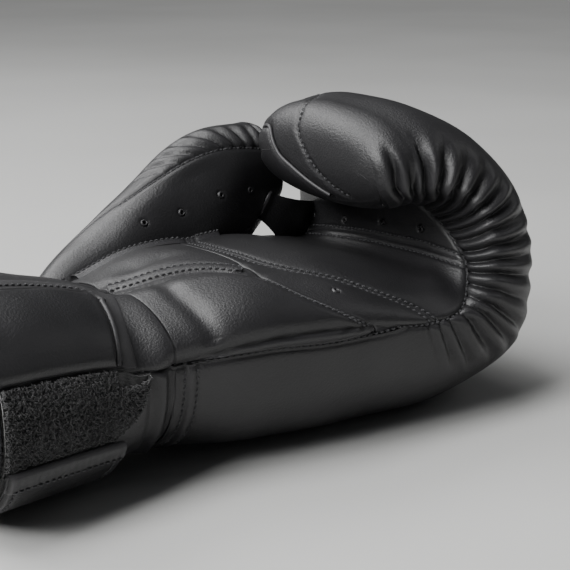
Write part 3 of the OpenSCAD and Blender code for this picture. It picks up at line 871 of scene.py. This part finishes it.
def line_stitches(name, face, lift, knots, body="mitt", rise=0.12, **how):
    """Stitches along a smooth line of given knots on a finished face."""
    line = smooth_line(knots, 240)
    p, n, mu, mv = face.at(line[:, 0], line[:, 1])
    points = p + n * (lift(line[:, 0], line[:, 1], p, mu, mv) + rise)[:, None]
    obj = stitches(name, points, n, body, **how)
    return obj


def double_row(name, line, angles, body="mitt"):
    """The two rows of a double stitch on both sides of a line across the palm."""
    for k, side in enumerate((-DOUBLE, DOUBLE)):
        a = np.linspace(*angles, 240)
        t = line(a)
        mt = mitt_face.at(t, a)[2]
        t = t + side / mt
        p, n, mt, ma = mitt_face.at(t, a)
        points = p + n * (palm_lift(t, a, p, mt, ma) + 0.12)[:, None]
        stitches(f"{name}_{k + 1}", points, n, body)


double_row("grip_start_stitch", GRIP_START, (181, 300))
double_row("grip_end_stitch", GRIP_END, (218, 345))

# one row holds the lower half of the heel panel's end
heel_a = np.linspace(181, 232, 120)
for k, back in enumerate((1.9, 4.4)):
    heel_t = HEEL_END(heel_a) - back / mitt_face.at(HEEL_END(heel_a), heel_a)[2]
    p, n = on_palm(heel_t, heel_a)
    stitches(f"heel_stitch_{k + 1}", p + n * 0.12, n, "mitt")

for k, ring in enumerate(WRIST_RINGS):
    line = [(ring, a) for a in np.linspace(178, 2, 30)]
    line_stitches(f"wrist_ring_stitch_{k + 1}", mitt_face, shell_lift, line)


def seam_thread():
    """The thread that shows in the valley between the shell and the palm, from wrist to fingertips."""
    t = np.linspace(0.1, 9.2, 680)
    p, n, mt, ma = mitt_face.at(t, seam_line(t))
    obj = stitches("seam_stitch", p - n * 1.0, n, None, pitch=2.9, length=2.1, radius=0.6, sink=0.0)
    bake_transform(obj)
    t = np.linspace(0.06, 9.25, 480)
    p, n, mt, ma = mitt_face.at(t, seam_line(t))
    # the welt deep in the seam valley is near-black: painted shade
    welt = cord("seam_welt", p - n * 1.9, 0.8, PAINTED_SHADE, None, sides=6)
    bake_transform(welt)
    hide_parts("mitt_seam_welt")


seam_thread()


# ---- the palm's stitched strip --------------------------------------------------------------------

def ribbon(name, face, lift, knots, half, rise, material, body="mitt", thick=0.9, ends=True,
           n=220, m=13, bulge=0.4):
    """A raised flat ribbon along a smooth line of knots on a finished face."""
    line = smooth_line(knots, n)
    p, nrm, mu, mv = face.at(line[:, 0], line[:, 1])
    along = unit(np.gradient(p, axis=0))
    side = np.cross(nrm, along)
    s = np.r_[0, np.cumsum(np.linalg.norm(np.diff(p, axis=0), axis=1))]
    wide = np.full(n, half, float)
    if ends:
        x = np.clip((s[-1] - s) / half, 0, 1)
        wide = np.maximum(half * np.sqrt(np.maximum(1 - (1 - x) ** 2, 0)), 0.15)
    r = np.linspace(-1, 1, m)
    du = (side[:, None] * wide[:, None, None] * r[None, :, None])
    q = p[:, None] + du
    # each point drops on to the finished face below it
    u, v, fu, fv = line[:, 0], line[:, 1], face.du, face.dv
    pu = (face.shape(u + fu, v) - face.shape(u - fu, v)) / (2 * fu)
    pv = (face.shape(u, v + fv) - face.shape(u, v - fv)) / (2 * fv)
    uu = u[:, None] + (du * pu[:, None]).sum(-1) / (pu * pu).sum(-1)[:, None]
    vv = v[:, None] + (du * pv[:, None]).sum(-1) / (pv * pv).sum(-1)[:, None]
    q, nrm2, mu, mv = face.at(uu, vv)
    base = q + nrm2 * lift(uu, vv, q, mu, mv)[..., None]
    edge = np.sqrt(np.maximum(1 - np.abs(r) ** 6, 0))[None, :]
    top = base + nrm2 * (rise * edge + bulge * (1 - r**2)[None, :] - 0.15)[..., None]
    low = base - nrm2 * thick
    obj = sheet(name, top, low, material, body)
    return obj, top, nrm2


def edge_rows(name, top, normals, columns, body="mitt"):
    for k, c in enumerate(columns):
        row_ = stitches(f"{name}_{k + 1}", top[:, c] + normals[:, c] * 0.08, normals[:, c], body)


strip_knots = [tuple(x) for x in STRIP_LINE[::26]] + [tuple(STRIP_LINE[-1])]
palm_strip, top, normals = ribbon("palm_strip_leather", mitt_face, palm_lift, strip_knots, 4.3, 0.9,
                                  SATIN, bulge=0.5)
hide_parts("palm_strip")
edge_rows("palm_strip_stitch", top[:-8], normals[:-8], (2, 10))


# ---- thumb ----------------------------------------------------------------------------------------

# section angles of the thumb's two long seams, from root to tip
UPPER_SEAM = smooth_line([(0.0, 40), (0.5, 44), (1.0, 51), (1.6, 65), (2.2, 91), (2.8, 107), (3.4, 120),
                          (4.0, 135), (4.6, 149), (5.2, 163), (6.0, 172)])
LOWER_SEAM = smooth_line([(0.0, 20), (0.5, 14), (1.5, -20), (2.5, -48), (3.5, -60), (4.5, -58),
                          (5.2, -40), (6.0, -20)])


def upper_seam(t):
    return np.interp(t, UPPER_SEAM[:, 0], UPPER_SEAM[:, 1])


def lower_seam(t):
    return np.interp(t, LOWER_SEAM[:, 0], LOWER_SEAM[:, 1])


THUMB_GATHERS = Gathers([
    (2.90, 2.60, 2.30, 0.0, 150),
    (3.20, 2.95, 2.70, 0.5, 140),
    (3.50, 3.28, 3.10, 0.9, 134),
    (3.76, 3.58, 3.42, 1.2, 128),
    (3.96, 3.84, 3.72, 1.3, 124),
    (4.14, 4.07, 3.98, 1.6, 122),
    (4.34, 4.31, 4.27, 1.5, 124),
    (4.53, 4.55, 4.56, 1.7, 118),
    (4.72, 4.78, 4.83, 1.4, 122),
    (4.92, 5.00, 5.06, 1.6, 116),
    (5.14, 5.24, 5.30, 1.2, 122),
    (5.40, 5.50, 5.55, 0.7, 126),
    (5.70, 5.80, 5.85, 0.0, 150),
], lambda t: 180 + 0 * t, 162, 140)


def thumb_lift(t, a, p, mt, ma):
    up, low = upper_seam(t), lower_seam(t)
    a = np.where(a > low + 360, a - 360, a)
    back = (a <= up) & (a >= low)
    to_upper = np.abs(up - a) * ma
    to_lower = np.minimum(np.abs(a - low), np.abs(a - low - 360)) * ma
    calm = 1 - step((t - 5.55) / 0.35)
    lift = (sewn_edge(to_upper, 1.5, 3.0) + sewn_edge(to_lower, 1.5, 3.0)) * calm
    lift += THUMB_GATHERS.depth(t, 180 - (up - a), mt) * back * calm
    under = (a - 262 + 180) % 360 - 180
    lift += 4.6 * np.exp(-(((t - 3.75) / 0.85) ** 2)) * np.exp(-((under / 48) ** 2))
    lift += 0.9 * waves(p, 34, 21) * calm * (1 - 0.6 * back) * step(to_upper / 10)
    return lift


THUMB_ROOT, THUMB_TIP = 0.05, 5.985


def thumb_panel(name, low, high, material, node, nt, na, vents=(), k=4):
    ts = THUMB_ROOT + (THUMB_TIP - THUMB_ROOT) * np.linspace(0, 1, nt)
    t, r = np.meshgrid(ts, np.linspace(0, 1, na), indexing="ij")
    a = low(t) + 0.4 + (high(t) - low(t) - 0.8) * r
    p, n, mt, ma = thumb_face.at(t, a)
    lift = dimple(thumb_lift(t, a, p, mt, ma), p, vents)
    outer = p + n * lift[..., None]
    # the root ends inside the wall of the cuff
    outer[..., 1] = np.where(outer[..., 0] < -72, np.maximum(outer[..., 1], 38.0), outer[..., 1])
    s = row(THUMB, np.minimum(t, THUMB_END))[..., :3]
    inner = (outer + (s - outer) * 0.35)[::k, ::k]
    obj = sheet(name, outer, inner, material, "thumb", ratio=k)
    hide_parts(*node)
    return obj


THUMB_VENTS = [(2.14, 146), (2.83, 163), (3.63, 174), (4.22, 184), (3.93, 223)]
thumb_vent_points = [thumb_outer(t, a) for t, a in THUMB_VENTS]
thumb_panel("thumb_back_leather", lower_seam, upper_seam, LEATHER, ["thumb_back_panel"], 241, 121)
thumb_panel("thumb_inner_leather", upper_seam, lambda t: lower_seam(t) + 360, SATIN,
                    ["thumb_inner_panel", "thumb_foam"], 201, 121, vents=thumb_vent_points)
punch("thumb_vent", THUMB_VENTS, thumb_face, thumb_lift, "thumb")
t = np.linspace(THUMB_ROOT + 0.1, 5.6, 400)
for seam_name, seam in (("upper", upper_seam), ("lower", lower_seam)):
    p, n, _, _ = thumb_face.at(t, seam(t))
    stitches(f"thumb_{seam_name}_stitch", p - n * 0.95, n, "thumb", length=1.9, radius=0.5)
    # the welts deep in the thumb's seams are near-black: painted shade
    cord(f"thumb_{seam_name}_welt", p - n * 1.6, 0.8, PAINTED_SHADE, "thumb", sides=6)


def inside_thumb(q):
    """Below 1 inside the thumb's form."""
    ts = np.linspace(0.3, THUMB_END, 200)
    s = row(THUMB, ts)
    k = np.linalg.norm(q[..., None, :] - s[:, :3], axis=-1).argmin(-1)
    s = s[k]
    d = unit((row(THUMB, ts + 0.02) - row(THUMB, ts - 0.02))[..., :3])[k]
    up = unit(np.cross(d, [0, 1, 0]))
    side = np.cross(up, d)
    x, y = ((q - s[..., :3]) * side).sum(-1), ((q - s[..., :3]) * up).sum(-1)
    lean = 1 - 0.22 * y / np.maximum(np.hypot(x, y), 1e-6)
    return (np.abs(x) / (s[..., 4] * lean)) ** 2.4 + (np.abs(y) / s[..., 3]) ** 2.4


def thumb_join():
    """The palm's edge is turned and sewn where it meets the thumb."""
    ts = np.linspace(0.16, 2.3, 80)
    a = np.arange(255.0, 350.0, 0.5)
    knots = []
    for t in ts:
        f = inside_thumb(mitt_outer(np.full_like(a, t), a))
        hit = np.nonzero(f < 1)[0]
        if len(hit):
            knots.append((t, a[hit[0]] - 1.0))
    knots = np.array(knots)
    kernel = np.ones(9) / 9
    angle = np.convolve(np.pad(knots[:, 1], 4, mode="edge"), kernel, "valid")
    return [(t, g) for t, g in zip(knots[::8, 0], angle[::8])]


JOIN = thumb_join()
join, top, normals = ribbon("thumb_join_leather", mitt_face, palm_lift, JOIN, 5.0, 1.5, LEATHER, bulge=0.8)
edge_rows("thumb_join_stitch", top[4:-4], normals[4:-4], (3,))


def thumb_lock():
    """The short strip between the thumb and the fist, with a turned edge."""
    start, end = np.array([40, 46, 76.0]), np.array([63, 51, 61.0])
    along = unit(end - start)
    across_ = unit(np.cross(along, [0, 1, 0]))
    u, v = np.meshgrid(np.linspace(-0.12, 1.12, 49), np.linspace(-0.5, 0.5, 21), indexing="ij")
    width = 14 + 17 * np.clip(u, 0, 1) ** 1.3
    mid = start + (end - start) * u[..., None] + across_ * (width * v)[..., None]
    mid[..., 1] += 1.1 - 2.5 * np.sin(np.pi * np.clip(u, 0, 1))
    thick = 1.1 * np.sqrt(np.maximum(1 - (2 * np.abs(v)) ** 6, 0.02)) + 0.25 * np.cos(np.pi * v)
    n = np.array([0, 1.0, 0])
    obj = sheet("thumb_lock_leather", mid + n * thick[..., None], mid - n * thick[..., None], SATIN)
    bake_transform(obj)
    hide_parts("thumb_lock")


thumb_lock()


# ---- cuff ------------------------------------------------------------------------------------------

CUFF_X = (-147.8, -71.8)
FLAP = (198.0, 252.0)


def flap_edge(a):
    return -99 + 9 * (np.asarray(a, float) - FLAP[0]) / (FLAP[1] - FLAP[0])


def patch_edge(a):
    a = np.asarray(a, float)
    return -83.5 - 20 * np.clip((190 - a) / 30, 0, 1) ** 1.7 - 1.6 * np.clip(a - 189, 0, 10)


def cuff_lift(x, a, p, mx, ma):
    """Relief of the cuff's leather: a standing fold at the wrist and soft unevenness."""
    low = step((a - 108) / 24) * step((cuff_split(x) - a) / 5)
    fold = 1.7 * np.exp(-(((x + 79.5) / 2.2) ** 2)) - 0.8 * np.exp(-(((x + 84.0) / 1.8) ** 2))
    to_side = np.minimum(np.abs(a - cuff_split(x)), np.minimum(a, 360 - a)) * ma
    edge = sewn_edge(x - CUFF_X[0], 1.2, 2.0) + sewn_edge(to_side, 1.3, 2.4) - 0.3 * step((x + 75.5) / 1.5)
    lobe = step((x + 89) / 14) * palm_lift(np.full_like(a, 0.03), np.maximum(a, 180.0), p, 34.0, ma)
    return fold * low + lobe * (a > cuff_split(x)) + edge + 0.35 * waves(p, 30, 31)


def cuff_split(x):
    """Where the cuff's two panels meet, running up from the mitt's side seam to the flap's corner."""
    return 180 + 14 * step((-73 - np.asarray(x, float)) / 17)


def cuff_panel(name, node, low, high):
    x, v = np.meshgrid(np.linspace(*CUFF_X, 113), np.linspace(0, 1, 257), indexing="ij")
    a = low(x) + (high(x) - low(x)) * v
    p, n, mx, ma = cuff_face.at(x, a)
    outer = rest_on_table(p + n * cuff_lift(x, a, p, mx, ma)[..., None])
    inner = (p - n * 2.6)[::4, ::4]
    obj = sheet(name, outer, inner, LEATHER, "mitt", ratio=4)
    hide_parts(node)


cuff_panel("cuff_back_leather", "cuff_back_panel", lambda x: 0.4 + 0 * x, lambda x: cuff_split(x) - 0.3)
cuff_panel("cuff_palm_leather", "cuff_palm_panel", lambda x: cuff_split(x) + 0.3, lambda x: 359.6 + 0 * x)
x = np.linspace(-91, -73.5, 80)
p, n, _, _ = cuff_face.at(x, cuff_split(x))
stitches("cuff_seam_stitch", p - n * 0.9, n, "mitt", pitch=2.9, length=2.1, radius=0.6, sink=0.0)


def flap():
    """The padded flap that wraps the palm side of the cuff, with its sewn-down border."""
    u, v = np.meshgrid(np.linspace(0, 1, 113), np.linspace(0, 1, 193), indexing="ij")
    a = FLAP[0] + (FLAP[1] - FLAP[0]) * v
    corner = np.clip((a - FLAP[1] + 9) / 9, 0, 1)
    end = flap_edge(a) - 6 * (1 - np.sqrt(1 - corner**2))
    x = -147.6 + (end + 147.6) * u
    p, n, mx, ma = cuff_face.at(x, a)
    d = np.minimum(np.minimum((x + 147.6) + 3, (end - x) * mx),
                   np.minimum((a - FLAP[0]) * ma, (FLAP[1] - a) * ma))
    puff = 3.3 + 0.45 * step((d - 4) / 14) + 0.4 * waves(p, 30, 41)
    lift = 0.25 + puff * rounded(d, 4.0)
    inner = (p + n * 0.1)[::4, ::4]
    obj = sheet("flap_leather", p + n * lift[..., None], inner, LEATHER, "mitt", ratio=4)
    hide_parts("cuff_flap", "cuff_flap_foam")
    side = np.linspace(FLAP[0] + 1, FLAP[1] - 7, 160)
    bend = np.linspace(0, np.pi / 2, 14)[1:]
    a = np.r_[side, FLAP[1] - 7 + 7.8 * np.sin(bend), np.full(90, FLAP[1] + 0.8)]
    x = np.r_[flap_edge(side) + 0.9, flap_edge(FLAP[1]) - 6.1 + 7 * np.cos(bend),
              np.linspace(flap_edge(FLAP[1]) - 6.6, -147, 90)]
    p, n, _, _ = cuff_face.at(x, a)
    # the piping's lighter leather is partly painted highlight
    piping = cord("flap_piping_leather", resample(p + n * 1.35, 0.9)[0], 1.2, TRIM_AND_HIGHLIGHT, "mitt", sides=10)
    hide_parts("flap_piping")


flap()
# the band's lighter leather is partly painted highlight
band, top, normals = ribbon("wrist_band_leather", cuff_face, cuff_lift, [
    (-93.2, 197.5), (-92.6, 212), (-90.6, 228), (-87.4, 243), (-86.0, 252), (-90, 259), (-99, 262),
    (-115, 262.5), (-132, 262), (-146.6, 261.5)], 4.4, 0.9, TRIM_AND_HIGHLIGHT, bulge=0.5, ends=False)
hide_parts("wrist_band")
edge_rows("wrist_band_stitch", top, normals, (10,))


LOOPS = 5200


def loop_patch():
    """The fuzzy patch for the hook tape: a sewn-on base with thousands of tiny loops where it is bare."""
    u, v = np.meshgrid(np.linspace(0, 1, 97), np.linspace(0, 1, 193), indexing="ij")
    a = 98 + 98.8 * v
    x = -147 + (patch_edge(a) + 147) * u
    p, n, mx, ma = cuff_face.at(x, a)
    d = np.minimum(np.minimum(x + 150, (patch_edge(a) - x) * mx), np.minimum(a - 98, 196.8 - a) * ma)
    fuzz = np.random.default_rng(11).uniform(-0.22, 0.22, x.shape)
    lift = cuff_lift(x, a, p, mx, ma) * step((x + 90) / 6) + 0.3 + (0.75 + fuzz) * rounded(d, 1.4)
    outer = rest_on_table(p + n * lift[..., None])
    obj = sheet("loop_patch_pile", outer, (p - n * 0.4)[::4, ::4], PILE, "mitt", ratio=4)
    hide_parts("loop_patch")
    draw = np.random.default_rng(13)
    verts = []
    sides, rings = 3, 5
    turn = np.linspace(0, 2 * np.pi, sides, endpoint=False)
    bow = np.linspace(0, np.pi, rings)
    while len(verts) < LOOPS * rings:
        a, s = draw.uniform(100, 196.4), draw.uniform(0, 1)
        x = -146.5 + (patch_edge(a) - 0.8 + 146.5) * s
        heading, high, wide = draw.uniform(0, 2 * np.pi), draw.uniform(0.8, 1.7), draw.uniform(0.4, 0.95)
        if (a < 158 and x < -98.5) or (x > -100 and a > 188):
            continue
        p, n, _, _ = cuff_face.at(np.array([x]), np.array([a]))
        p, n = p[0], n[0]
        e = unit(np.cross(n, [0.3, 0.5, 0.8]))
        f = np.cross(n, e)
        h = e * math.cos(heading) + f * math.sin(heading)
        g = np.cross(n, h)
        for b in bow:
            centre = p + n * (0.85 + high * math.sin(b)) + h * wide * math.cos(b) + g * 0.15 * math.sin(2 * b)
            out = h * math.cos(b) + n * math.sin(b)
            verts.append(centre + 0.17 * (out * np.cos(turn)[:, None] + g * np.sin(turn)[:, None]))
    verts = rest_on_table(np.concatenate(verts))
    # the loops are lighter than the patch's base: painted glints
    loops = make("loop_patch_loops", verts, rod_faces(LOOPS, rings, sides), PILE_GLINTS, "mitt")


loop_patch()


# ---- strap -----------------------------------------------------------------------------------------

def strap_point(x, a, offset):
    p, n, _, _ = cuff_face.at(np.asarray(x, float), np.asarray(a, float))
    return p + n * offset


def turn_at(a):
    """A place on the strap's middle line."""
    return place(strap_point(-122.0, float(a), STRAP_LIFT + STRAP_T / 2))


def strap_grid(low, high, n, ends):
    x, a = np.meshgrid(np.linspace(*STRAP_X, 61), np.linspace(low, high, n), indexing="ij")
    p, nrm, mx, ma = cuff_face.at(x, a)
    d = np.minimum(x - STRAP_X[0], STRAP_X[1] - x)
    if ends[0]:
        d = np.minimum(d, (a - low) * ma)
    if ends[1]:
        d = np.minimum(d, (high - a) * ma)
    low_side = STRAP_LIFT + 0.25
    lift = (low_side + 0.5 + (STRAP_T - 0.75) * rounded(d, 1.3) + groove(d - 3.4, 0.45, 0.8)
            + 0.2 * waves(p, 28, 51))
    return p + nrm * lift[..., None], p + nrm * low_side, nrm


def strap_piece(name, low, high, n, ends, bend):
    outer, inner, normals = strap_grid(low, high, n, ends)
    outer, inner = rest_on_table(outer), rest_on_table(inner)
    inner[..., 2] = np.maximum(inner[..., 2], outer[..., 2].min() + 0.3)
    obj = sheet(name, outer, inner[::4, ::4], LEATHER, None, ratio=4)
    turn_at(bend[0])
    turn_at(bend[1])
    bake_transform(obj)
    for k, column in enumerate((4, 56)):
        row_ = stitches(f"{name}_stitch_{k + 1}", outer[column, 6:-6] + normals[column, 6:-6] * 0.1,
                        normals[column, 6:-6], None)
        turn_at(bend[0])
        turn_at(bend[1])
        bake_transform(row_)
    return obj


root = strap_piece("strap_root_leather", 8, 87.6, 161, (True, False), (20, 26))
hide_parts("strap_anchor", "strap_base")
tip = strap_piece("strap_tip_leather", 88.0, 160, 129, (False, False), (88, 94))
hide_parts("strap_tip")


def hooks():
    """The hook tape under the strap's free end."""
    x, a = np.meshgrid(np.linspace(-143, -102, 45), np.linspace(100, 148, 65), indexing="ij")
    p, n, _, _ = cuff_face.at(x, a)
    bottom = p + n * (STRAP_LIFT - 0.45)
    top = p + n * (STRAP_LIFT + 0.4)
    bottom = rest_on_table(bottom)[::4, ::4]
    obj = sheet("hook_tape_base", rest_on_table(top), bottom, HOOKS, "strap_end", ratio=4)
    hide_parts("strap_hook_tape")
    verts = []
    sides, bends = 3, [(0, 0), (0, 0.45), (0.12, 0.75), (0.4, 0.8)]
    turn = np.linspace(0, 2 * np.pi, sides, endpoint=False)
    for x in np.arange(-142, -102.5, 1.3):
        for a in np.arange(101, 147.5, 1.6):
            p, n, _, _ = cuff_face.at(np.array([x]), np.array([a]))
            p, n = p[0] + n[0] * (STRAP_LIFT - 0.4), -n[0]
            for along, high in bends:
                centre = p + np.array([along, 0, 0]) + n * high * 0.7
                verts.append(centre + 0.12 * (np.array([0, 1, 0]) * np.cos(turn)[:, None]
                                              + np.array([1, 0, 0]) * np.sin(turn)[:, None]))
    faces = rod_faces(len(verts) // len(bends), len(bends), sides)
    obj = make("hook_tape_hooks", np.concatenate(verts), faces, HOOKS, "strap_end")


hooks()


def end_binding():
    """The folded tape that closes the strap's free end."""
    xs = np.linspace(STRAP_X[0] - 0.3, STRAP_X[1] + 0.3, 61)
    around = np.linspace(0, 2 * np.pi, 40, endpoint=False)
    reach, half = 5.4, (STRAP_T + 1.7) / 2
    along = reach * power(np.cos(around), 0.55) - 2.8
    high = half * power(np.sin(around), 0.62)
    degree = 0.92
    rings = []
    for x in xs:
        close = math.sqrt(max(1 - max(0, 1 - min(x - xs[0], xs[-1] - x) / 1.0) ** 2, 0.05))
        a = 160.6 + along * degree
        p, n, _, _ = cuff_face.at(np.full(40, x), a)
        ripple = 0.12 * math.sin(x * 2.2) + 0.08 * math.sin(x * 0.9)
        rings.append(p + n * (STRAP_LIFT + STRAP_T / 2 + 0.1 + high * close + ripple * (high > 0))[:, None])
    rings = rest_on_table(np.array(rings))
    n, m = rings.shape[:2]
    verts = np.concatenate([rings.reshape(-1, 3), rings[0].mean(0)[None], rings[-1].mean(0)[None]])
    k = np.arange(m)
    faces = [grid_faces(n, m, ring=True), np.stack([np.full(m, n * m), (k + 1) % m, k], -1),
             np.stack([np.full(m, n * m + 1), (n - 1) * m + k, (n - 1) * m + (k + 1) % m], -1)]
    # the tape's lighter leather is partly painted highlight
    obj = make("strap_end_tape", verts, faces_out(verts, faces), TRIM_AND_HIGHLIGHT, "strap_end")
    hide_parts("strap_end_binding")
    line = np.linspace(STRAP_X[0] + 1, STRAP_X[1] - 1, 90)
    p, n, _, _ = cuff_face.at(line, np.full(90, 155.2))
    row_ = stitches("strap_end_stitch", p + n * (STRAP_LIFT + STRAP_T + 1.05), n, "strap_end")


end_binding()


# ---- hand opening and linings ----------------------------------------------------------------------

def opening():
    a = np.linspace(0, 360, 720, endpoint=False)
    p, n, _, _ = cuff_face.at(np.full(720, -149.8), a)
    pucker = 4.1 * (1 + 0.035 * np.sin(np.radians(a) * 96) + 0.02 * np.sin(np.radians(a) * 37))
    ring = p - n * 3.2
    obj = cord("opening_binding_leather", ring, pucker, LEATHER, "mitt", ring=True, sides=24, flat=1.0, up=n)
    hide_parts("opening_binding")
    p, n, _, _ = cuff_face.at(np.full(720, -148.6), a)
    stitches("opening_stitch", p + n * 0.1, n, "mitt", pitch=2.8)


def lining(name, node, outer, inner):
    obj = sheet(name, outer, inner[::4, ::4], LINING, "mitt", ratio=4)
    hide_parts(node)


opening()
x, a = np.meshgrid(np.linspace(-150, -74.5, 81), np.linspace(0, 360, 241), indexing="ij")
p, n, _, _ = cuff_face.at(x, a)
soft = 0.35 * waves(p, 16, 61)[..., None]
lining("cuff_lining_cloth", "cuff_lining", p - n * (6.9 - soft), p - n * 7.7)
t, r = np.meshgrid(np.linspace(0.06, 5.4, 121), np.linspace(0, 1, 241), indexing="ij")
a = (360 - thumb_mouth(t)) * r
hand = mitt_cavity(t, a)
outside = hand + (mitt_outer(t, a) - hand) * 0.07
inside = hand + (outside - hand) * 0.2 * waves(hand, 18, 62)[..., None]
lining("hand_lining_cloth", "hand_lining", outside, inside)

KEPT = {FOAM_GREY: ("back_foam_middle", "finger_foam_inner", "cuff_foam_back", "cuff_foam_palm"),
        FOAM_CREAM: ("back_foam_inner",),
        LINING: ("finger_lining", "thumb_lining"),
        ELASTIC: ("wrist_elastic",)}
for material, names in KEPT.items():
    for kept in names:
        node = bpy.data.objects[kept]
        node.data.materials.clear()
        node.data.materials.append(material)


# ---- floor, light and camera ----------------------------------------------------------------------

def floor():
    m, tree, shader = node_material("floor_paper")
    cloud = noise(tree, 3, 2).outputs["Fac"]
    tint = ramp(tree, cloud, [(0.3, (0.50, 0.50, 0.49)), (0.7, (0.55, 0.55, 0.54))])
    tree.links.new(tint, shader.inputs["Base Color"])
    shader.inputs["Roughness"].default_value = 0.9
    shader.inputs["Specular IOR Level"].default_value = 0.2
    half = 14.0
    mesh = bpy.data.meshes.new("floor")
    corners = [(-half, -half, 0), (half, -half, 0), (half, half, 0), (-half, half, 0)]
    mesh.from_pydata(corners, [], [[0, 1, 2, 3]])
    obj = bpy.data.objects.new("floor", mesh)
    bpy.context.scene.collection.objects.link(obj)
    mesh.materials.append(m)


def area(name, where, aim, size, power_w, colour=(1, 1, 1)):
    light = bpy.data.lights.new(name, "AREA")
    light.shape = "RECTANGLE"
    light.size, light.size_y = size
    light.energy = power_w
    light.color = colour
    obj = bpy.data.objects.new(name, light)
    obj.location = where
    obj.rotation_euler = (Vector(aim) - Vector(where)).to_track_quat("-Z", "Y").to_euler()
    bpy.context.scene.collection.objects.link(obj)


def sun(where, strength, wide):
    light = bpy.data.lights.new("sky", "SUN")
    light.energy, light.angle = strength, math.radians(wide)
    obj = bpy.data.objects.new("sky", light)
    obj.rotation_euler = (-Vector(where)).to_track_quat("-Z", "Y").to_euler()
    bpy.context.scene.collection.objects.link(obj)


def camera():
    cam = bpy.data.cameras.new("camera")
    cam.sensor_width = 36
    cam.lens = 85.2
    obj = bpy.data.objects.new("camera", cam)
    target = Vector((0.0202, -0.0189, 0.058))
    azimuth, elevation, distance = math.radians(-38), math.radians(16), 0.56
    back = Vector((math.sin(azimuth) * math.cos(elevation), -math.cos(azimuth) * math.cos(elevation),
                   math.sin(elevation)))
    obj.location = target + back * distance
    obj.rotation_euler = (-back).to_track_quat("-Z", "Y").to_euler()
    bpy.context.scene.collection.objects.link(obj)
    bpy.context.scene.camera = obj


def world():
    w = bpy.data.worlds.new("world")
    w.use_nodes = True
    w.node_tree.nodes["Background"].inputs["Color"].default_value = (0.8, 0.82, 0.85, 1)
    w.node_tree.nodes["Background"].inputs["Strength"].default_value = 0.072
    bpy.context.scene.world = w


floor()
camera()
world()
sun((-0.30, 0.85, 1.1), 1.3, 70)
area("key", (-0.30, 0.85, 0.95), (0, 0, 0.05), (0.9, 0.6), 9)
area("top", (-0.45, 0.05, 1.15), (0, 0, 0.05), (0.5, 0.7), 9)
area("side", (-0.95, -0.12, 0.8), (0.05, 0, 0.05), (0.5, 0.5), 15)
area("rim", (0.95, -0.35, 0.7), (0, 0, 0.05), (0.5, 0.5), 0.8)
